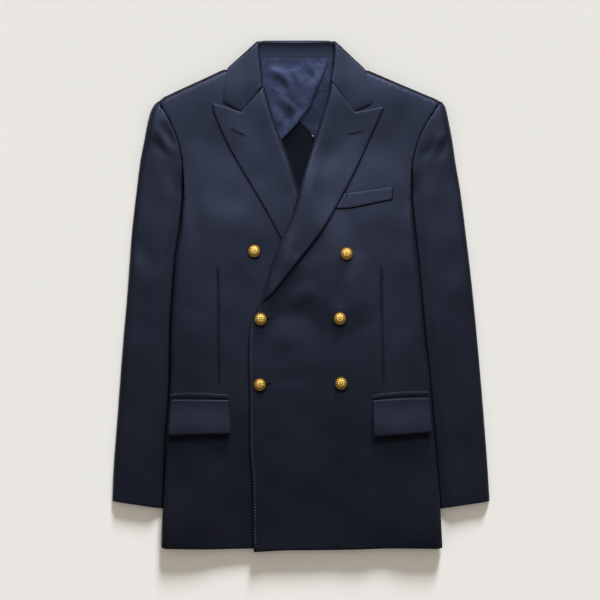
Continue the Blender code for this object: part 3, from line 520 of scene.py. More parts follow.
for side, sign in SIDES:
    centre = sign * 0.02    # the halves all but touch
    shoulder = resampled(SHOULDERS[side], SPACING)
    side_edge = line_down(side_x[side], ARMHOLE_FOOT_Y, HEM_Y + 1.0)
    back = cloth_piece(f"back_{side}_cloth", [
        edge(resampled([(centre, NECK_SEAM_Y), shoulder[0]])),
        edge(shoulder, 2.0, drop=0.5),
        edge(armhole_line(side), 2.0, drop=0.4),
        edge(side_edge, 2.0, drop=0.5),
        edge(resampled([side_edge[-1], (centre, HEM_Y + 1.0)]), 2.0, drop=0.7),
        edge(resampled([(centre, HEM_Y + 1.0), (centre, NECK_SEAM_Y)])),
    ], back_under, back_inside, wool_wrong_side_and_shade)
    # The back's inner face, which shows in the neck, takes the darker wrong-side wool, partly painted shade;
    # its bending edges take the outside wool.
    recolour_edges(back, wool_outside)
    sewn_in(back, f"back_{side}")

# ---- Sleeves ----
# Each is a tube of two pieces, the under sleeve below and the top sleeve over it, sewn into the armhole
# with a little fullness at the cap. Below the armhole they are swept in behind the body.
SLEEVE_WALL, SLEEVE_GAP, SLEEVE_ROLL = 3.0, 3.4, 11.0
# y, right x, left x of the sleeves' outer edges, from the shoulder to the cuff
SLEEVE_EDGES = (
    (304, -225, 220.5), (297, -231, 225), (289, -235, 227.5), (275, -239, 230.5), (244, -245, 236.5),
    (213, -251, 241), (166, -257, 249), (104, -264, 257), (10, -271, 268), (-83, -279, 277),
    (-177, -286, 285), (-271, -293, 292), (-320, -295, 295),
)
SLEEVE_FOLDS = {
    "right": (
        (-222, 286, -226, 262, -236, 240, 11, 1.2), (-216, 272, -211, 256, -199, 230, 6, -2.6),
        (-222, 264, -214, 246, -203, 224, 6.5, 1.7), (-230, 250, -221, 234, -206, 219, 7, -1.5),
        (-241, 222, -222, 190, -214, 140, 14, 0.8), (-262, 96, -240, 60, -222, 38, 13, -0.9),
        (-266, 60, -246, 20, -228, 6, 15, 0.9), (-264, -40, -258, -130, -262, -210, 15, 0.9),
        (-246, -90, -243, -190, -248, -290, 13, -0.8),
    ),
    "left": (
        (213, 246, 203, 231, 188, 216, 6, -2.3), (222, 256, 212, 238, 196, 222, 7, 1.5),
        (230, 252, 222, 232, 211, 212, 7.5, -1.7), (232, 216, 216, 186, 206, 140, 14, 0.8),
        (254, 88, 234, 50, 214, 30, 14, -0.8), (262, 44, 242, 8, 222, -8, 15, 0.8),
        (262, -60, 254, -140, 260, -230, 15, 0.9), (240, -100, 244, -200, 246, -300, 13, -0.7),
    ),
}
sleeve_x = {side: curve_through(SLEEVE_EDGES, column) for column, (side, _) in enumerate(SIDES, 1)}


def pressed(x, y):
    """1 where a sleeve lies under the body."""
    return (1.0 - ease((-inset_from_side(x, y) - 3.0) / 19.0)) * fade(y, 202, 160)


def under_sleeve_over(x, y):
    return 2.1 + PAD_BACK * pad(x, y)


def top_sleeve_under(x, y):
    return under_sleeve_over(x, y) + 0.5 + (SLEEVE_GAP - 0.5) * (1.0 - pressed(x, y))


def top_sleeve_over(x, y):
    press = pressed(x, y)
    level = top_sleeve_under(x, y) + 2.0 * press + SLEEVE_WALL * (1.0 - press) + PAD_FRONT * pad(x, y)
    rows = SLEEVE_FOLDS["right"] if np.mean(x) < 0 else SLEEVE_FOLDS["left"]
    return level + (folds_at(x, y, rows) + slack(x, y, 0.25)) * (1.0 - press)


for side, sign in SIDES:
    outer = line_down(sleeve_x[side], SLEEVE_EDGES[0][0], CUFF_Y[0])
    seam = line_down(armhole_x[side], ARMHOLES[0][0], ARMHOLE_FOOT_Y + 4.0, SPACING, sign * 0.1)
    # close together where the tuck begins
    y_inner = np.r_[148.0, 144.0, 140.0, 135.0, np.linspace(130.0, CUFF_Y[1], 79)]
    inner = np.column_stack([side_x[side](y_inner) - sign * sleeve_tuck(y_inner), y_inner])
    cuff = resampled([outer[-1], inner[-1]])
    beside_body = line_down(side_x[side], 200.0, CUFF_Y[1] + 6.0, 12.0, sign * 0.9)
    top = cloth_piece(f"top_sleeve_{side}_cloth", [
        edge(outer, SLEEVE_ROLL, 2.6, lambda x, y: under_sleeve_over(x, y) + SEAM),
        edge(cuff, 2.4, drop=1.0),
        edge(inner[::-1]),
        edge(np.vstack([inner[:1], seam[::-1], outer[:1]]), 2.6, drop=1.1),
    ], top_sleeve_under, top_sleeve_over, wool_outside, sign * 3.0, SPACING, [(beside_body, 1.4, 1.2)])
    # Painted shade: the top sleeve's bending edges, and a strip along the body's edge, take the darker
    # wrong-side wool, as dark edge lines and the shade under the body's edge.
    recolour_edges(top, wool_wrong_side_and_shade, 0.4, beside_body)
    sewn_in(top, f"top_sleeve_{side}")
    drawn_in = outer - (sign * 0.6, 0.0)
    under = cloth_piece(f"under_sleeve_{side}_cloth", [
        edge(drawn_in, 1.6, drop=0.6),
        edge(np.vstack([drawn_in[-1:], cuff[1:]]), 2.0, drop=0.7),
        edge(inner[::-1]),
        edge(np.vstack([inner[:1], seam[::-1], drawn_in[:1]])),
    ], lambda x, y: 0.0 * x, under_sleeve_over, wool_outside, sign * 3.0, 10.0)
    sewn_in(under, f"under_sleeve_{side}")

# ---- Side panels ----
# Under the arm the body has a panel of its own. As the blazer lies it is tucked in between back and
# front like a bellows: one leg on the back, a soft bend, and one leg out again to the front's seam.
SIDE_WALL, EASE_GAP, TUCK_GAP = 1.6, 0.8, 5.4
SIDE_PANEL_TOP_Y = 98.0
BEND, TUCK_EASING = 1.1, 55.0      # radius of the bellows' bend, width over which the front comes down
LOWER_END, UPPER_END = 0.9, 6.8    # of the two legs, in from the body's side edge


def wall_of(name, sections, wall, surface, grain=0.0):
    """A closed wall from rows of points across it, thickened half to each side of them."""
    sections = np.asarray(sections, float)
    normal = np.cross(np.gradient(sections, axis=0), np.gradient(sections, axis=1))
    normal *= wall / 2 / np.linalg.norm(normal, axis=2)[..., None]
    rows, columns = sections.shape[:2]
    points = np.vstack([(sections + normal).reshape(-1, 3), (sections - normal).reshape(-1, 3)])
    count = rows * columns
    faces = []
    for i in range(rows - 1):
        for j in range(columns - 1):
            a = i * columns + j
            b, c, d = a + 1, a + columns + 1, a + columns
            faces += [(a, b, c, d), (count + a, count + d, count + c, count + b)]
    rim = [(0, j) for j in range(columns)] + [(i, columns - 1) for i in range(1, rows)]
    rim += [(rows - 1, j) for j in range(columns - 2, -1, -1)] + [(i, 0) for i in range(rows - 2, 0, -1)]
    ring = [i * columns + j for i, j in rim]
    faces += [(a, count + a, count + b, b) for a, b in zip(ring, ring[1:] + ring[:1])]
    piece = finished(name, points, faces, surface, grain)
    steps = np.linalg.norm(np.diff(sections, axis=1), axis=2).sum(axis=1)
    runs = np.linalg.norm(np.diff(sections, axis=0), axis=2).sum(axis=0)
    area = float(np.mean(steps) * np.mean(runs))
    width, length = float(steps.max()), float(runs.max())
    piece["cut"] = [width * MM, length * MM, min(area, width * length) * MM * MM]
    return piece


for side, sign in SIDES:
    sections = []
    for y in np.linspace(SIDE_PANEL_TOP_Y, HEM_Y + 1.5, 62):
        depth = float(side_tuck(y))
        legs = np.linspace(0.0, 1.0, 9)
        row = [(LOWER_END + share * (depth - LOWER_END), 0.0) for share in legs]
        row += [(depth + BEND * math.sin(a), BEND * (1.0 - math.cos(a)))
                for a in np.radians((30, 60, 90, 120, 150))]
        row += [(UPPER_END + share * (depth - UPPER_END), 2.0 * BEND) for share in legs[::-1]]
        inset, lift = np.transpose(row)
        x, y = side_x[side](y) - sign * inset, np.full(len(row), y)
        sections.append(np.column_stack([x, y, back_over(x, y) + EASE_GAP - 0.2 + SIDE_WALL / 2 + lift]))
    panel = wall_of(f"side_panel_{side}_cloth", sections, SIDE_WALL, wool_outside)
    sewn_in(panel, f"side_panel_{side}")

# ---- Lining across the back of the neck ----
# Two pieces of viscose satin, cut like a butterfly's wings: the right one lies on the left one, and
# both are felled by hand to the back and run in under the lapels.
LINING_WALL, LINING_TUCK = 1.0, 16.0
LINING_REST, WING_GAP, WING_SPRING = 0.5, 0.4, 1.8    # off the back, between the two, at the free edge
# y, x of the lines on which the lapels and the collar fold over
ROLLS = {
    "right": (
        (399, -67.5), (374, -66), (346, -61), (314, -53), (283, -44), (252, -33), (210, -17), (166, -4),
        (122, 14), (90, 29), (62, 43), (22, 57), (-12, 67),
    ),
    "left": (
        (399, 53), (372, 52), (346, 47), (314, 42), (283, 33), (247, 22), (216, 12), (171, -2), (127, -14),
        (88, -31), (46, -48), (-1, -61), (-15, -67.5), (-27, -72.5),
    ),
}
# x, y of the edges that show in the neck, from the top down
LINING_EDGES = {
    "right": (
        (44, 371), (39, 355), (33, 342), (27, 327), (20, 311), (14, 296), (6, 285), (-2, 275), (-9, 266),
        (-20, 254), (-31, 244), (-40, 237),
    ),
    "left": (
        (-18, 371), (-16, 310), (-10, 280), (-2, 272), (6, 264), (14, 255), (20, 246), (28, 237),
    ),
}
LINING_FOLDS = (
    (-58, 366, -30, 360, 10, 364, 7, -0.7), (-50, 356, -28, 343, -12, 322, 6, 0.9),
    (-44, 340, -26, 326, -18, 300, 6.5, -0.8), (-12, 362, -6, 340, 8, 322, 6, 0.8),
    (4, 360, 14, 346, 22, 330, 5, -0.7), (-30, 318, -20, 300, -4, 292, 6, 0.9),
    (-40, 306, -26, 284, -14, 276, 5.5, -0.8), (-6, 318, -8, 300, 2, 290, 5, -0.6),
    (-38, 280, -28, 264, -26, 250, 5, 0.6),
)
roll_x = {side: curve_through(rows) for side, rows in ROLLS.items()}


def satin(name, dark, mid, light):
    """Viscose satin: warp floats that shine along one way, and small soft creases, with the colour painted
    darker in their hollows and lighter on their crests as painted shade and sheen.
    """
    made, shader = new_material(name, {
        "Roughness": 0.46, "Specular IOR Level": 0.4, "Specular Tint": srgb("#98a9e4"), "Sheen Weight": 0.08})
    tree = made.node_tree
    place = add_node(tree, "ShaderNodeUVMap", uv_map="cloth").outputs["UV"]
    long = add_node(tree, "ShaderNodeMapping", {"Vector": place, "Scale": (1.0, 0.12, 1.0)})
    warp = add_node(tree, "ShaderNodeTexNoise", {
        "Vector": long.outputs["Vector"], "Scale": 2600.0, "Detail": 2.0})
    creases_and_shade = add_node(tree, "ShaderNodeTexNoise", {
        "Vector": place, "Scale": 34.0, "Detail": 3.0, "Roughness": 0.45, "Distortion": 0.6})
    ramp = add_node(tree, "ShaderNodeValToRGB", {"Fac": creases_and_shade.outputs["Fac"]})
    ramp.color_ramp.elements.new(0.5)
    for stop, position, code in zip(ramp.color_ramp.elements, (0.32, 0.5, 0.70), (dark, mid, light)):
        stop.position, stop.color = position, srgb(code)
    creased = add_node(tree, "ShaderNodeBump", {
        "Height": creases_and_shade.outputs["Fac"], "Strength": 0.45, "Distance": 0.003})
    floats = add_node(tree, "ShaderNodeBump", {
        "Height": warp.outputs["Fac"], "Strength": 0.25, "Distance": 0.00006,
        "Normal": creased.outputs["Normal"]})
    tree.links.new(ramp.outputs["Color"], shader.inputs["Base Color"])
    tree.links.new(floats.outputs["Normal"], shader.inputs["Normal"])
    return made


# The left wing, which lies under the right one, has a darker copy of the same satin: painted shade.
lining_satin = {"right": satin("midnight blue viscose satin", "#151a2b", "#232940", "#363e56"),
                "left": satin("midnight blue satin, darkened as painted shade", "#0f1220", "#191d2f", "#282e42")}

for side, sign, rest, sprung in (("left", 1.0, LINING_REST, 0.0),
                                 ("right", -1.0, LINING_REST + LINING_WALL + WING_GAP, WING_SPRING)):
    shown = resampled(LINING_EDGES[side], 3.5)
    hidden = line_down(roll_x[side], shown[-1][1], 366.0, 5.0, sign * LINING_TUCK)
    hidden[:, 0] = np.clip(hidden[:, 0], -62.0, 49.0)
    across = resampled([(hidden[-1][0], NECK_SEAM_Y), (shown[0][0], NECK_SEAM_Y)], 4.0)

    def lining_under(x, y):
        """The wing that lies on top stands off a little at its free edge."""
        off = sprung * np.exp(-((gap_to(shown, x, y) / 9.0) ** 2)) * fade(y, 366, 336)
        return back_over(x, y) + rest + 0.4 * fade(y, 290, 320) + off

    def lining_over(x, y):
        return lining_under(x, y) + LINING_WALL + np.maximum(1.25 * folds_at(x, y, LINING_FOLDS), -0.7)

    wing = cloth_piece(f"lining_{side}_cloth", [
        edge(np.vstack([across[-1:], shown]), 1.4, lip=0.25),
        edge(resampled([shown[-1], hidden[0]], 4.0)),
        edge(np.vstack([hidden, across[:1]])),
        edge(across),
    ], lining_under, lining_over, lining_satin[side], 32.0 * sign, 4.0)
    sewn_in(wing, f"lining_{side}")

# ---- Fronts ----
# Each front is wool over a canvas that is padded at the shoulder, with a dart from under the breast to
# the pocket. The left one laps over the right one and over its lapel; their front edges are pressed.
BODY_GAP, FRONT_WALL, LAPEL_WALL, FOLD_INSET = 3.6, 2.6, 2.4, 6.4
BELLY = 3.8                # how far the fronts swell between waist and pockets
UNDERLAP_X = 78.0          # hidden edge of the right front
# y, x of the left front's own edge, from the break of its lapel down to the hem
FRONT_EDGE = (
    (-24, -71), (-37, -76), (-52, -80), (-76, -82), (-146, -80.5), (-239, -80), (-286, -76.5), (-380, -75),
    (-399, -73.5),
)
# x, y round each lapel: notch, peak, then down the outer edge to the break
LAPELS = {
    "right": (
        (-94, 288), (-138, 302), (-137, 289), (-128, 266), (-111, 230), (-95, 202), (-80, 177), (-64, 150),
        (-48, 122), (-31, 91), (-14, 75), (2, 58), (17, 41), (33, 23), (48, 5), (60, -9),
    ),
    "left": (
        (85, 288), (130, 296), (123, 280), (108, 246), (92, 211), (76, 179), (61, 151), (45, 122), (30, 99),
        (14, 78), (-2, 58), (-15, 41.5), (-27.5, 25.5), (-42.5, 7), (-61, -10.5), (-71, -23.5),
    ),
}
GORGE_TOPS = {"right": (-60.5, 329), "left": (47, 338)}
DARTS = {
    "right": (
        (-131, 51), (-129, 10), (-129, -52), (-128, -146),
    ),
    "left": (
        (125, 49), (127, -52), (129, -143),
    ),
}
FRONT_FOLDS = {
    "right": (
        (-182, 168, -166, 120, -160, 50, 15, -1.1), (-170, 210, -150, 150, -146, 80, 22, 0.4),
        (-150, 300, -160, 262, -176, 232, 13, -0.8), (-190, 306, -178, 280, -176, 246, 11, 0.7),
        (-100, 80, -88, 60, -78, 20, 16, 0.8), (-120, 60, -96, 0, -98, -90, 20, -0.7),
        (-176, -20, -168, -80, -172, -140, 16, 0.8), (-150, -230, -138, -290, -146, -370, 24, 1),
        (-110, -240, -104, -310, -112, -384, 18, -0.8), (-196, -236, -190, -300, -196, -372, 14, -0.8),
    ),
    "left": (
        (70, 56, 63, 20, 57, -22, 11, -1.9), (-80, -36, -46, 11, -4, 64, 20, 3.2),
        (-18, -10, 2, 2, 22, 16, 15, 2.2), (92, 70, 88, 20, 92, -40, 17, 1.1),
        (-48, -34, -16, -30, 26, -34, 13, -1), (-52, -58, -20, -68, 20, -66, 16, 0.8),
        (-50, -132, -24, -128, 10, -134, 12, -0.8), (-20, -90, 24, -110, 44, -128, 17, 0.8),
        (174, 168, 160, 120, 156, 56, 15, -1.1), (160, 214, 144, 150, 140, 86, 22, 0.4),
        (146, 300, 156, 262, 168, 230, 13, -0.8), (176, -20, 168, -80, 172, -140, 16, 0.8),
        (-30, -190, -20, -280, -34, -380, 30, 1.2), (40, -200, 50, -290, 38, -384, 26, -1.1),
        (110, -236, 120, -310, 112, -384, 24, 1), (190, -236, 184, -300, 194, -380, 15, -0.9),
    ),
}
front_edge_x = curve_through(FRONT_EDGE)


def over_side_panel(x, y):
    """1 where the side panel is tucked in between back and front."""
    return (1.0 - ease((inset_from_side(x, y) - side_tuck(y) - 7.0) / TUCK_EASING)) * fade(y, *TUCK_TOP)


def lapel_outline(side):
    """A lapel's plan, with its fold, closed."""
    fold = line_down(roll_x[side], LAPELS[side][-1][1], GORGE_TOPS[side][1], 14.0)
    return np.vstack([fold, LAPELS[side]])


def body_under(x, y):
    """Under face of the lower front."""
    tucked = over_side_panel(x, y)
    belly = BELLY * fade(y, 80, -170) * (1.0 - fade(y, -160, HEM_Y))
    belly *= ease(inset_from_side(x, y) / 70.0)
    return back_over(x, y) + BODY_GAP * (1.0 - tucked) + TUCK_GAP * tucked + belly


def at_rest(x, y, side):
    """Folds of a front: they die out towards its folded side edge, which lies firm."""
    return (folds_at(x, y, FRONT_FOLDS[side]) + slack(x, y)) * ease(inset_from_side(x, y) / 16.0)


def front_right_over(x, y):
    return body_under(x, y) + FRONT_WALL + PAD_FRONT * pad(x, y) + at_rest(x, y, "right")


def left_lift(x, y):
    """The upper front rises over the lower front and over that front's lapel."""
    underlap_edge = roll_x["right"](y) + (UNDERLAP_X - 67.0) * fade(y, 10, -40)
    on_front = 1.0 - ease((x - underlap_edge - 6.0) / 60.0)
    lapel = lapel_outline("right")
    covered = inside(lapel, np.column_stack([np.ravel(x), np.ravel(y)])).reshape(np.shape(x))
    on_lapel = ease(1.0 - (np.where(covered, 0.0, gap_to(lapel, x, y)) - 4.0) / 50.0)
    return (FRONT_WALL + EASE_GAP) * on_front + (LAPEL_WALL + EASE_GAP) * on_lapel


def front_left_under(x, y):
    """Its pressed front edge springs up a little from the lower front."""
    sprung = np.exp(-((np.maximum(x - front_edge_x(y), 0.0) / 12.0) ** 2)) * fade(y, -24, -64)
    return body_under(x, y) + left_lift(x, y) + 1.3 * sprung


def front_left_over(x, y):
    return front_left_under(x, y) + FRONT_WALL + PAD_FRONT * pad(x, y) + at_rest(x, y, "left")


def side_foot(x, y):
    """Where a front's folded edge ends: on the back at the shoulder, half way down the tuck at the side."""
    on_sleeve = 2.8 * np.exp(-(((y - 147.0) / 20.0) ** 2))
    return back_over(x, y) + SEAM + (TUCK_GAP / 2 - SEAM) * fade(y, *TUCK_TOP) + on_sleeve


def fold_line(side, y_from, y_to, shift=0.0):
    """The line on which a lapel folds over, upwards; with a shift, the edge of the front inside that fold."""
    y = np.linspace(y_from, y_to, int(abs(y_to - y_from) / 5.0))
    at_break = 0.5 * fade(y, 20, -5) if side == "right" else -0.6 * fade(y, 18, -16)
    drawn_in = shift * (1.0 + 0.7 * fade(y, 295, 325) + at_break)
    return np.column_stack([roll_x[side](y) + drawn_in, y])


for side, sign in SIDES:
    on_top = side == "left"
    fold = fold_line(side, -20.0 if on_top else -14.0, 357.0, sign * FOLD_INSET)
    shoulder = resampled(SHOULDERS[side]) + (-sign * 1.2, -1.6)
    body_edge = line_down(side_x[side], ARMHOLE_FOOT_Y, HEM_Y + 6.0)
    corner = [(side_x[side](HEM_Y) - sign * 1.5, HEM_Y + 2.6), (side_x[side](HEM_Y) - sign * 7.0, HEM_Y)]
    if on_top:
        own_edge = rounded(line_down(front_edge_x, -399.0, -27.0, 9.0), 4.0)
        hem = rounded([corner[1], (150.0, HEM_Y + 0.6), (60.0, HEM_Y - 1.6), (-20.0, HEM_Y - 2.4),
                       own_edge[0]])
        front_sides = [edge(own_edge, 2.6, lip=1.3)]
    else:
        own_edge = resampled([(UNDERLAP_X, HEM_Y), (UNDERLAP_X, -40.0), (fold[0][0] + 3.0, -20.0)], 8.0)
        hem = rounded([corner[1], (-150.0, HEM_Y - 0.8), (-60.0, HEM_Y + 0.4), own_edge[0]])
        front_sides = [edge(own_edge)]
    under = front_left_under if on_top else body_under
    over = front_left_over if on_top else front_right_over
    front = cloth_piece(f"front_{side}_cloth", [
        edge(shoulder, 4.2, FRONT_WALL, side_foot),
        edge(np.vstack([shoulder[-1:], armhole_line(side)[1:]]), 2.6, drop=1.0),
        edge(body_edge, 8.0, FRONT_WALL, side_foot),
        edge(np.vstack([body_edge[-1:], corner[:1], hem]), 3.0, lip=1.2),
        *front_sides,
        edge(np.vstack([own_edge[-1:], fold])),
        edge(resampled([fold[-1], shoulder[0]])),
    ], under, over, wool_outside, 0.0, SPACING * 0.9, [(DARTS[side], 1.0, 1.4)])
    # Painted shade: the front's bending edges take the darker wrong-side wool, as dark lines along its edges.
    recolour_edges(front, wool_wrong_side_and_shade)
    sewn_in(front, f"front_{side}")

# ---- Lapels ----
# The facing, turned back over each front along its roll line. It rolls softly above and is pressed flat
# towards the break; its outer edge is turned under and pick-stitched.
FOLD_ROLL = 7.5            # width over which the fold is rounded
PUFF, PUFF_REACH = 1.7, 26.0       # height and reach of the soft roll beside it
LAPEL_FOLDS = {
    "right": (
        (-120, 282, -92, 240, -66, 190, 16, 0.7), (-70, 300, -60, 250, -40, 196, 13, -0.5),
    ),
    "left": (
        (112, 276, 84, 230, 60, 186, 16, 0.7), (60, 300, 50, 240, 30, 180, 13, -0.5),
        (20, 60, -6, 34, -30, 6, 9, 0.7),
    ),
}
for side, sign in SIDES:
    rows = LAPELS[side]
    lapel_fold = fold_line(side, rows[-1][1], GORGE_TOPS[side][1])
    outer = np.vstack([resampled(rows[1:3], 4.0)[:-1], rounded(rows[2:], 4.0)])
    gorge = resampled([lapel_fold[-1], rows[0]], 4.0)
    below = front_right_over if side == "right" else front_left_over

    def lapel_puff(x, y):
        """Soft roll of the lapel along its fold, where nothing lies on it."""
        shown = fade(y, 130, 190) if side == "right" else fade(y, 20, 170)
        return PUFF * np.exp(-((gap_to(lapel_fold, x, y) / PUFF_REACH) ** 2)) * shown

    def stands_off(x, y):
        """The free edge stands off a little, most of all above the break of the upper lapel."""
        gap = gap_to(lapel_fold, x, y)
        if side == "right":
            return 0.5 * ease(gap / 30.0) * fade(y, 150, 210)
        height = 0.5 + 1.9 * fade(y, 230, 180) + 2.6 * fade(y, 165, 50)
        return height * fade(y, -30, 10) * ease(gap / 20.0)

    def lapel_under(x, y):
        return below(x, y) + SEAM + 0.8 * lapel_puff(x, y) + stands_off(x, y)

    def lapel_over(x, y):
        shown = fade(y, 120, 180) if side == "right" else 1.0
        folds = folds_at(x, y, LAPEL_FOLDS[side])
        return below(x, y) + SEAM + LAPEL_WALL + (lapel_puff(x, y) + folds) * shown + stands_off(x, y)

    def lapel_foot(x, y):
        """The fold ends at the under face of the front."""
        if side == "right":
            return body_under(x, y)
        return front_left_under(x, y) + 1.2 * fade(y, -10, 20)

    lapel = cloth_piece(f"lapel_{side}_cloth", [
        edge(lapel_fold, FOLD_ROLL, LAPEL_WALL, lapel_foot),
        edge(gorge, 2.0, drop=0.9),
        edge(resampled(rows[:2], 4.0), 2.4, lip=1.2),
        edge(outer, 2.4, lip=1.2),
        edge([outer[-1], lapel_fold[0]]),
    ], lapel_under, lapel_over, wool_outside, sign * -24.0, 4.5)
    sewn_in(lapel, f"lapel_{side}")

# ---- Collar ----
# The fall is cut in one and goes round the neck: its two ends lie on the fronts and meet the lapels in
# the notch, and at the back it is folded down behind. The stand inside it is sewn to the neck seam.
COLLAR_WALL, COLLAR_FOLD, STAND_TOP_Y = 2.2, 3.2, 395.4
# fold x, fold y, outer x, outer y, turn in degrees: 0 on the fronts, 90 at the neck's outline, 180 under
# the back
COLLARS = {
    "right": (
        (-60.6, 329.4, -94.3, 288.5, 0), (-61.2, 338, -108, 296, 0), (-61.8, 346, -122, 303.5, 0),
        (-63.2, 357, -120.4, 316, 0), (-64.8, 369, -118.6, 331, 0), (-66, 381, -116.8, 344, 0),
        (-67, 392, -114.6, 353, 0), (-67, 397, -114.6, 355, 45), (-67, 399, -114.4, 356, 90),
        (-64, 399, -112, 355, 135), (-60, 399, -108, 353, 180), (-40, 399, -75, 353.5, 180),
        (-20, 399, -38, 354.5, 180), (-7, 399, -8, 355, 180),
    ),
    "left": (
        (47, 338.6, 84.5, 288.5, 0), (48.2, 347, 98, 295.5, 0), (49.6, 355, 111.8, 301, 0),
        (50.8, 364, 108.6, 315, 0), (51.8, 374, 105, 329, 0), (52.6, 384, 102.6, 341, 0),
        (53, 393, 101, 350, 0), (53, 397, 101, 352, 45), (52, 399, 100.5, 353.5, 90),
        (48, 399, 98, 353.5, 135), (44, 399, 92, 353, 180), (28, 399, 60, 353.5, 180),
        (10, 399, 26, 354.5, 180),
    ),
}
wool_collar = worsted_wool("navy worsted twill, pressed collar", "#0e0e12", "#111116", "#16171d", 0.38)


def shoulder_over(x, y):
    """Top of the fronts as if their shoulder edges stayed level: the collar passes over those."""
    return np.where(x < 0, front_right_over(x, y), front_left_over(x, y))


# how far across the fall its points lie, 0 to 1: close together at the turned edge and at the fold
ACROSS = np.array((0.0, 0.025, 0.07, 0.15, 0.25, 0.35, 0.45, 0.55, 0.65, 0.74, 0.82, 0.89, 0.95, 1.0))
FALL_WIDTH, ROLL_HEIGHT, ROLL_REACH = 52.0, 2.6, 20.0    # the fall rises in a soft roll beside its fold


def collar_half(side, sign):
    """Sections of one half of the fall, from the gorge to the centre back: across it from its outer edge,
    then round the fold."""
    rows = np.array(COLLARS[side])
    silhouette = rows[8, 0:2] - rows[8, 2:4]
    silhouette /= np.linalg.norm(silhouette)
    inward = np.array([silhouette[1], -silhouette[0]]) * -sign
    inward *= -np.sign(inward[1])
    at = np.linspace(0, len(rows) - 1, (len(rows) - 1) * 5 + 1)
    table = [np.interp(at, np.arange(len(rows)), rows[:, k]) for k in range(5)]
    under_z = 0.25 + COLLAR_WALL / 2
    sections = []
    for fold_x, fold_y, outer_x, outer_y, turn in np.transpose(table):
        angle = math.radians(turn)
        fold, outer = np.array([fold_x, fold_y]), np.array([outer_x, outer_y])
        across = (fold - outer) / np.linalg.norm(fold - outer)
        fold = fold - COLLAR_FOLD * across
        plan = outer + ACROSS[:, None] * (fold - outer)
        x, y = plan.T
        rolled = ROLL_HEIGHT * np.exp(-(((1.0 - ACROSS) * FALL_WIDTH / ROLL_REACH) ** 2))
        top = shoulder_over(x, y) + 3.0 * SEAM + COLLAR_WALL / 2 + rolled
        z = under_z + (top - under_z) * (1.0 + math.cos(angle)) / 2
        row = [np.array(p) for p in zip(x, y, z)]
        facing = np.array([*(inward * math.sin(angle)), -math.cos(angle)])
        reach = math.radians(105.0 + 75.0 * turn / 180.0)
        end, outward = row[-1], np.array([*across, 0.0])
        for bend in np.linspace(0.0, reach, 9)[1:]:
            row.append(end + COLLAR_FOLD * (math.sin(bend) * outward + (1 - math.cos(bend)) * facing))
        sections.append(row)
    return sections


sections = np.array(collar_half("right", -1.0) + collar_half("left", 1.0)[::-1])
for _ in range(3):
    sections[1:-1] = (sections[:-2] + 2.0 * sections[1:-1] + sections[2:]) / 4.0
walls = np.full(sections.shape[1], COLLAR_WALL)
walls[:3] = 1.0, 1.6, 2.0    # pressed thin at the outer edge
fall = wall_of("collar_fall_cloth", sections, walls[None, :, None], wool_collar, 8.0)
sewn_in(fall, "collar_fall")

neck = np.array([SHOULDERS["right"][0], (0.0, NECK_SEAM_Y), SHOULDERS["left"][0]])
sections = []
share = np.linspace(0.0, 1.0, 13)
for x in np.r_[np.linspace(-65.4, 0.0, 22), np.linspace(3.0, 51.4, 17)]:
    seam_y = float(np.interp(x, neck[:, 0], neck[:, 1])) + SEAM + 0.1
    lift = COLLAR_LIFT + BACK_WALL / 2 + share + 2.0 * share**3
    sections.append(np.column_stack([np.full(len(share), x), seam_y + share * (STAND_TOP_Y - seam_y), lift]))
stand = wall_of("collar_stand_cloth", sections, BACK_WALL, wool_collar, 0.0)
sewn_in(stand, "collar_stand")

# ---- Pockets ----
# A welt stands over the breast pocket. Each hip pocket is a cut with a narrow jetted lip above it, and
# its flap, lined and turned out, comes out of the cut under the lip and hangs over it.
WELT_WALL, FLAP_WALL, JET_WALL = 2.0, 2.2, 1.2
# for each piece the front that it lies on, its wall, its grain in degrees, how far its free edge is
# lifted, and x, y round it
POCKETS = {
    "breast_welt": ("left", WELT_WALL, -7.0, 0.4, (
        (67, 161), (92, 164), (123, 168.5), (143.5, 171), (142.5, 151), (108, 144), (76, 137.5),
        (53, 136.8))),
    "pocket_flap_right": ("right", FLAP_WALL, 1.5, 6.5, (
        (-112, -161), (-110.5, -185), (-108.5, -214), (-142, -214), (-173, -215), (-206.5, -217),
        (-205, -190), (-202.8, -160.5))),
    "pocket_flap_left": ("left", FLAP_WALL, -1.5, 6.5, (
        (111.5, -161.5), (112, -190), (112.5, -218), (131, -217), (154, -215), (178, -213), (204.8, -211),
        (202.5, -190), (200, -158), (154, -158.5))),
    "pocket_jet_right": ("right", JET_WALL, 0.0, 0.0, (
        (-203, -152), (-181, -150), (-150, -150), (-114, -153), (-112.5, -159.4), (-158, -156.5),
        (-197, -157), (-203, -158.5))),
    "pocket_jet_left": ("left", JET_WALL, 0.0, 0.0, (
        (199, -148), (154, -148), (123, -151.5), (111, -154.5), (111, -160.2), (131, -156.8),
        (154, -154.8), (199, -153))),
}
for node, (side, wall, grain, lift, outline) in POCKETS.items():
    below = front_right_over if side == "right" else front_left_over
    top_y = max(y for _, y in outline)

    def pocket_under(x, y):
        """It lies on the front, and lifts a little towards its free edge."""
        return below(x, y) + SEAM + lift * ease((top_y - y) / 60.0)

    corners = list(outline) + [outline[0]]
    turned = min(2.0, wall * 0.8)
    piece = cloth_piece(f"{node}_cloth", [
        edge(resampled(corners[k:k + 2], 2.5), turned, lip=wall * 0.45) for k in range(len(outline))
    ], pocket_under, lambda x, y: pocket_under(x, y) + wall, wool_outside, grain, 3.5)
    # Painted shade: the welt's and the flaps' bending edges take the darker wrong-side wool, as a dark
    # outline.
    if wall > JET_WALL:
        recolour_edges(piece, wool_wrong_side_and_shade)
    sewn_in(piece, node)

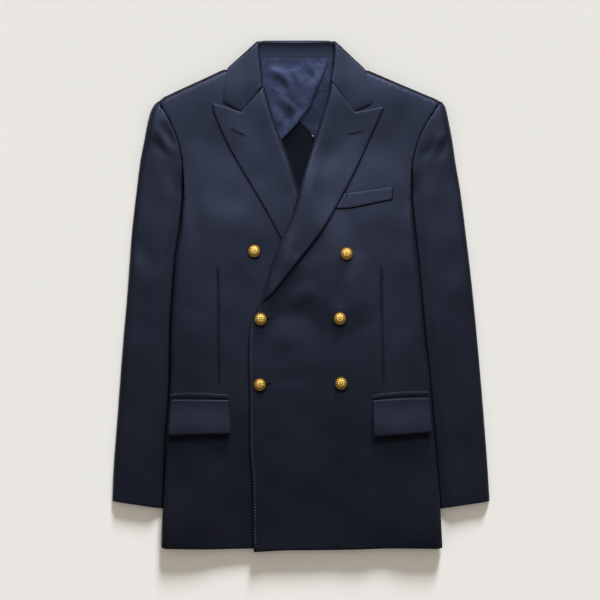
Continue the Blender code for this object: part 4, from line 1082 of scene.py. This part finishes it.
# ---- Buttons ----
# Stamped brass shells, gilt and domed, on a shank. A plain rosette and a roped rim stand up in relief;
# the gilding is worn bright on the high spots and darkened in the hollows, and the rim is painted darker as
# shade.
# node, x, y, the front that it is sewn to, and how far its rosette is turned, in radians
BUTTONS = (
    ("button_top_right", -73.0, 71.0, "right", 0.3), ("button_top_left", 71.0, 67.0, "left", 1.1),
    ("button_middle_right", -63.0, -35.0, "left", 2.3), ("button_middle_left", 60.5, -34.0, "left", 0.7),
    ("button_low_right", -64.0, -137.0, "left", 1.7), ("button_low_left", 62.5, -135.0, "left", 2.9),
)
# radius, height of the shell's profile, from the shank to the crown
BUTTON_PROFILE = (
    (2.6, 0), (2.6, 1.2), (6, 1.25), (9, 1.35), (10, 1.8), (10.3, 2.6), (10.2, 3.2), (9.8, 3.6),
    (9.3, 3.75), (9, 3.6), (8.8, 3.35), (8.5, 3.35), (8.1, 3.5), (7.7, 3.65), (7.3, 3.8), (6.9, 3.95),
    (6.5, 4.1), (6, 4.25), (5.5, 4.4), (5, 4.55), (4.5, 4.7), (4, 4.8), (3.5, 4.9), (3, 5), (2.5, 5.05),
    (2, 5.1), (1.5, 5.15), (1, 5.2), (0.5, 5.2),
)
BUTTON_SIDES, PETALS, BEADS, ROPE_TURNS = 96, 8, 16, 24
PETAL_RING, BEAD_RING, RIM = 4.1, 7.3, 8.9    # radii of the worked design
RELIEF, FACE, CROWN = 0.55, 3.3, 5.7          # its height, and the heights between which it lies


def gilt_brass(name):
    """Stamped and gilt brass: a warm, fairly sharp shine, rubbed on what stands out, dull in the hollows; the
    rim is painted darker, a painted shade.
    """
    made, shader = new_material(name, {"Metallic": 0.7})
    tree = made.node_tree
    place = add_node(tree, "ShaderNodeTexCoord").outputs["Object"]
    worn = add_node(tree, "ShaderNodeAttribute", attribute_name="relief")
    patina = add_node(tree, "ShaderNodeTexNoise", {
        "Vector": place, "Scale": 900.0, "Detail": 4.0, "Roughness": 0.6})
    both = add_node(tree, "ShaderNodeMath", {
        0: patina.outputs["Fac"], 1: 0.5, 2: worn.outputs["Fac"]}, operation="MULTIPLY_ADD")
    ramp = add_node(tree, "ShaderNodeValToRGB", {"Fac": both.outputs[0]})
    ramp.color_ramp.elements.new(0.5)
    stops = zip(ramp.color_ramp.elements, (0.25, 0.6, 0.95), ("#33240a", "#ba8f34", "#efd17c"))
    for stop, position, code in stops:
        stop.position, stop.color = position, srgb(code)
    dull = add_node(tree, "ShaderNodeMapRange", {
        "Value": both.outputs[0], "From Min": 0.2, "From Max": 1.1, "To Min": 0.66, "To Max": 0.52})
    tree.links.new(ramp.outputs["Color"], shader.inputs["Base Color"])
    tree.links.new(dull.outputs["Result"], shader.inputs["Roughness"])
    return made


gilt = gilt_brass("gilt stamped brass")
angle = 2 * math.pi * np.arange(BUTTON_SIDES) / BUTTON_SIDES
rings = len(BUTTON_PROFILE)
for node, cx, cy, side, turn in BUTTONS:
    over = front_right_over if side == "right" else front_left_over
    base = float(over(np.array([cx]), np.array([cy]))[0]) + SEAM
    points, relief = [(cx, cy, base)], [0.4]
    for radius, height in BUTTON_PROFILE:
        petal = np.abs(np.cos(PETALS / 2 * (angle + turn))) ** 0.8
        petal = petal * math.exp(-(((radius - PETAL_RING) / 1.5) ** 2))
        bead = np.maximum(np.cos(BEADS * angle), 0.0) * math.exp(-(((radius - BEAD_RING) / 0.55) ** 2))
        rope = 0.5 * (1.0 + np.sin(ROPE_TURNS * angle)) * (radius > RIM)
        boss = math.exp(-((radius / 1.3) ** 2))
        worked = (height > FACE) * (petal + 0.8 * bead + 0.45 * rope + 0.9 * boss)
        points += zip(cx + radius * np.cos(angle), cy + radius * np.sin(angle),
                      base + height + RELIEF * worked)
        # The rim beyond RIM is painted darker: painted shade round the button's edge.
        relief += list(0.12 + 0.8 * worked - 0.3 * (radius > RIM))
    points.append((cx, cy, base + CROWN))
    relief.append(0.9)
    faces = []
    for k in range(BUTTON_SIDES):
        follow = (k + 1) % BUTTON_SIDES
        faces.append((0, 1 + follow, 1 + k))
        for ring in range(rings - 1):
            a, b = 1 + ring * BUTTON_SIDES + k, 1 + ring * BUTTON_SIDES + follow
            faces.append((a, b, b + BUTTON_SIDES, a + BUTTON_SIDES))
        last = 1 + (rings - 1) * BUTTON_SIDES
        faces.append((last + k, last + follow, len(points) - 1))
    button = finished(f"{node}_gilt", points, faces, gilt)
    mark = button.data.attributes.new("relief", "FLOAT", "POINT")
    mark.data.foreach_set("value", np.array(relief, np.float32))
    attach(button, "root")
    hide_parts(node)

# ---- Stitches ----
# Silk twist. Pick stitches run inside the turned edges of the lapels, the collar and the flaps, and lie
# across the left front's edge. The lining is felled along its free edges and buttonholes are worked over.
# The stitches of the front edge and of the lining are larger than life, so that they show.
INSIDE_EDGE = 2.5
PICK_SPACING, EDGE_SPACING, FELLING_SPACING, SEAM_SPACING = 3.6, 4.7, 4.6, 2.6


def inside_edge(path, inset):
    """A path moved to its left side."""
    path = resampled(path, 2.0)
    return path + inset * leftward(path)


def thread(name, colour):
    """Silk twist, with a soft shine."""
    return new_material(name, {"Base Color": srgb(colour), "Roughness": 0.6, "Specular IOR Level": 0.15})[0]


def one_stitch(name, along, across, high):
    """One stitch, a small pillow of thread, `along` its line and `across` it."""
    shape = bmesh.new()
    bmesh.ops.create_uvsphere(shape, u_segments=6, v_segments=4, radius=0.5 * MM)
    bmesh.ops.scale(shape, vec=(along, across, high), verts=shape.verts)
    mesh = bpy.data.meshes.new(name)
    shape.to_mesh(mesh)
    shape.free()
    mesh.shade_smooth()
    return bpy.data.objects.new(name, mesh)


def stitching():
    """Geometry nodes that set one stitch after another along a line."""
    tree = bpy.data.node_groups.new("stitching", "GeometryNodeTree")
    kinds = {"Geometry": "Geometry", "Spacing": "Float", "Stitch": "Object", "Thread": "Material"}
    for name, kind in kinds.items():
        tree.interface.new_socket(name, in_out="INPUT", socket_type="NodeSocket" + kind)
    tree.interface.new_socket("Geometry", in_out="OUTPUT", socket_type="NodeSocketGeometry")
    given = add_node(tree, "NodeGroupInput").outputs
    line = add_node(tree, "GeometryNodeMeshToCurve", {"Mesh": given["Geometry"]})
    even = add_node(tree, "GeometryNodeResampleCurve", {
        "Curve": line.outputs["Curve"], "Length": given["Spacing"]}, mode="LENGTH")
    way = add_node(tree, "GeometryNodeInputTangent").outputs["Tangent"]
    laid = add_node(tree, "FunctionNodeAlignRotationToVector", {"Vector": way}, axis="X", pivot_axis="Z")
    uneven = add_node(tree, "FunctionNodeRandomValue", {2: 0.82, 3: 1.15, "Seed": 11}, data_type="FLOAT")
    shape = add_node(tree, "GeometryNodeObjectInfo", {"Object": given["Stitch"]})
    placed = add_node(tree, "GeometryNodeInstanceOnPoints", {
        "Points": even.outputs["Curve"], "Instance": shape.outputs["Geometry"],
        "Rotation": laid.outputs["Rotation"], "Scale": uneven.outputs[1]})
    real = add_node(tree, "GeometryNodeRealizeInstances", {"Geometry": placed.outputs["Instances"]})
    coated = add_node(tree, "GeometryNodeSetMaterial", {
        "Geometry": real.outputs["Geometry"], "Material": given["Thread"]})
    add_node(tree, "NodeGroupOutput", {"Geometry": coated.outputs["Geometry"]})
    return tree


stitch_nodes = stitching()
surfaces = {}


def sewn(name, node, path, spacing, stitch, material):
    """A line of stitches on top of a cloth piece."""
    if node not in surfaces:
        mesh = bpy.data.objects[f"{node}_cloth"].data
        corners = [vertex.co for vertex in mesh.vertices]
        surfaces[node] = BVHTree.FromPolygons(corners, [face.vertices[:] for face in mesh.polygons])
    points = []
    for x, y in path:
        hit = surfaces[node].ray_cast(Vector((x * MM, y * MM, 0.2)), Vector((0, 0, -1)))[0]
        if hit is not None:
            points.append(hit)
    mesh = bpy.data.meshes.new(f"{name}_line")
    mesh.from_pydata(points, [(k, k + 1) for k in range(len(points) - 1)], [])
    line = added(f"{name}_line", mesh)
    nodes = line.modifiers.new("stitches", "NODES")
    nodes.node_group = stitch_nodes
    wanted = {"Spacing": spacing * MM, "Stitch": stitch, "Thread": material}
    for socket in stitch_nodes.interface.items_tree:
        if socket.in_out == "INPUT" and socket.name in wanted:
            nodes[socket.identifier] = wanted[socket.name]
    evaluated = line.evaluated_get(bpy.context.evaluated_depsgraph_get())
    made = added(name, bpy.data.meshes.new_from_object(evaluated))
    bpy.data.objects.remove(line)
    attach(made, "root")


navy_twist = thread("navy silk twist", "#0a0b10")
# The black-blue twist is thread for the edge picks and the felling, and also colours the painted shadow lines
# along seams and the painted shade in the buttonhole slits.
black_thread_and_shade = thread("black-blue twist, also for painted shade", "#040507")
# The blue twist is lighter than the cloth: it is the painted highlight on the puckers, not a thread.
pucker_highlight = thread("blue silk twist", "#4a5068")
pale_twist = thread("pale basting silk", "#9ba3b8")
# length along the line, width across it and height of each stitch; a pucker is the little rise
# between two stitches of the front edge, coloured lighter than the cloth as a painted highlight
pick = one_stitch("pick stitch", 1.5, 0.5, 0.4)
edge_pick = one_stitch("edge stitch", 1.6, 4.6, 0.8)
pucker = one_stitch("pucker", 1.4, 2.4, 0.8)
felling = one_stitch("felling stitch", 1.0, 3.6, 0.7)
worked = one_stitch("buttonhole stitch", 0.62, 1.9, 0.8)
tack = one_stitch("tack stitch", 0.7, 2.0, 0.8)
slit = one_stitch("slit", 18.0, 0.8, 0.5)
seam_line = one_stitch("seam thread", 3.4, 0.7, 0.5)

for side, sign in SIDES:
    rim = np.vstack([resampled(LAPELS[side][:2], 4.0)[1:-1], rounded(LAPELS[side][1:], 4.0)])
    leaf = np.array(COLLARS[side])[:7, 2:4]
    flap = POCKETS[f"pocket_flap_{side}"][4]
    for part, node, path, way in (("lapel", f"lapel_{side}", rim, -sign),
                                  ("collar", "collar_fall", leaf, sign),
                                  ("pocket_flap", f"pocket_flap_{side}", flap, sign)):
        picked = inside_edge(path, way * INSIDE_EDGE)
        sewn(f"{part}_{side}_pick", node, picked, PICK_SPACING, pick, navy_twist)

down_edge = line_down(front_edge_x, -44.0, -392.0, 4.0)
sewn("front_left_edge_pick", "front_left", down_edge + (3.2, 0.0), EDGE_SPACING, edge_pick, black_thread_and_shade)
# The puckers are lighter than the cloth: a painted highlight of the light on the little rises.
sewn("front_left_edge_puckers", "front_left", down_edge[1:] + (4.0, 2.3), EDGE_SPACING, pucker, pucker_highlight)
for side, sign in SIDES:
    free = inside_edge(resampled(LINING_EDGES[side], 3.0), sign * 2.6)
    sewn(f"lining_{side}_felling", f"lining_{side}", free, FELLING_SPACING, felling, black_thread_and_shade)
sewn("lining_tack", "lining_left", [(17.4, 252.2), (18.2, 251.4), (19.2, 250.4)], 0.7, tack, pale_twist)

felling_y, stitching_y = NECK_SEAM_Y + 1.3, STAND_TOP_Y - 3.4
# The neck's felling and the stand's stitching are thread; the lines along the edges of the back's seam
# allowances, down the darts and round the breast welt are dark lines of thread colour, painted shadow lines
# of those seams.
SEAMS = (
    ("back_right_allowance_edge", "back_right", [(-7.8, 262.0), (-7.8, 160.0)]),
    ("back_left_allowance_edge", "back_left", [(6.5, 262.0), (6.5, 160.0)]),
    ("neck_felling", "collar_stand", [(-63.0, felling_y), (50.0, felling_y)]),
    ("stand_stitching", "collar_stand", [(-56.0, stitching_y), (40.0, stitching_y)]),
    ("dart_right_seam", "front_right", resampled(DARTS["right"])[1:-1]),
    ("dart_left_seam", "front_left", resampled(DARTS["left"])[1:-1]),
    ("breast_welt_seam", "front_left", inside_edge(POCKETS["breast_welt"][4][:6], 0.8)),
)
for name, node, path in SEAMS:
    sewn(name, node, path, SEAM_SPACING, seam_line, black_thread_and_shade)

# x, y of each buttonhole's two ends; those of the front show only beyond their buttons
BUTTONHOLES = (
    ("lapel_right", -108.5, 261.0, -87.5, 250.5), ("lapel_left", 72.5, 252.5, 97.5, 257.5),
    ("front_left", -70.0, -35.0, -44.5, -34.0), ("front_left", -71.0, -137.0, -45.5, -136.0),
)
for count, (node, ax, ay, bx, by) in enumerate(BUTTONHOLES):
    a, b = np.array((ax, ay)), np.array((bx, by))
    way = (b - a) / np.linalg.norm(b - a)
    side_way = np.array((-way[1], way[0]))
    bend = np.radians(np.arange(-90, 91, 30))
    loop = [b - 1.0 * way + 1.25 * (math.sin(t) * side_way + math.cos(t) * way) for t in bend]
    loop += [a + 1.0 * way - 1.25 * (math.sin(t) * side_way + math.cos(t) * way) for t in bend]
    sewn(f"buttonhole_{count + 1}_edge", node, resampled(loop + [loop[0]], 1.0), 0.62, worked, navy_twist)
    middle = (a + b) / 2
    # The slit is a dark bar of thread colour: painted shade of the cut.
    sewn(f"buttonhole_{count + 1}_slit", node, [middle - way, middle + way], 4.0, slit, black_thread_and_shade)
for count, (x, y, leaning) in enumerate(((72.0, 160.0, -1.0), (142.0, 169.0, 1.0))):
    bar = [(x + 1.4 * leaning * s, y - 5.0 * s) for s in (0.0, 0.5, 1.0)]
    sewn(f"breast_welt_tack_{count + 1}", "breast_welt", bar, 0.6, tack, navy_twist)

# ---- Floor and light ----
# Matt paper. A low, bluish light from beyond the collar throws the soft shadow below the hem; a softbox
# above the collar is seen only as the cloth's sheen, which fades downwards; the rest is a warm, even light.
FLOOR_REACH, FLOOR_DROP = 4.0, 0.0004    # metres, from the middle and below the cloth
floor_mesh = bpy.data.meshes.new("floor")
corners = [(x * FLOOR_REACH, y * FLOOR_REACH, -FLOOR_DROP) for x, y in ((-1, -1), (1, -1), (1, 1), (-1, 1))]
floor_mesh.from_pydata(corners, [], [(0, 1, 2, 3)])
floor = added("floor", floor_mesh)
paper, _ = new_material("matt paper, warm white", {
    "Base Color": srgb("#edecea"), "Roughness": 0.9, "Specular IOR Level": 0.0})
floor_mesh.materials.append(paper)

world = bpy.data.worlds.new("world")
bpy.context.scene.world = world
world.use_nodes = True
sky = world.node_tree.nodes["Background"]
glossy = add_node(world.node_tree, "ShaderNodeLightPath").outputs["Is Glossy Ray"]
# strength of the sky on the cloth, and of what the cloth mirrors of it
dimmed = add_node(world.node_tree, "ShaderNodeMapRange", {"Value": glossy, "To Min": 0.46, "To Max": 0.07})
world.node_tree.links.new(dimmed.outputs["Result"], sky.inputs["Strength"])
sky.inputs["Color"].default_value = (1.0, 0.92, 0.80, 1)


def lamp(name, kind, energy, colour, place):
    """A lamp at a place, turned to the blazer."""
    made = added(name, bpy.data.lights.new(name, kind))
    made.data.energy, made.data.color = energy, colour
    made.location = place
    made.rotation_euler = (Vector((0, 0.1, 0)) - Vector(place)).to_track_quat("-Z", "Y").to_euler()
    return made


rake = lamp("rake", "SUN", 7.2, (0.92, 0.96, 1.0), (0.55, 3.9, 0.95))
rake.data.angle = math.radians(11.0)
rake.visible_glossy = False
box = lamp("softbox", "AREA", 35.0, (0.92, 0.955, 1.0), (0.03, 0.98, 0.85))
box.data.shape, box.data.size, box.data.size_y = "RECTANGLE", 1.0, 0.5
box.visible_diffuse = False
bpy.context.scene.view_settings.view_transform = "Standard"
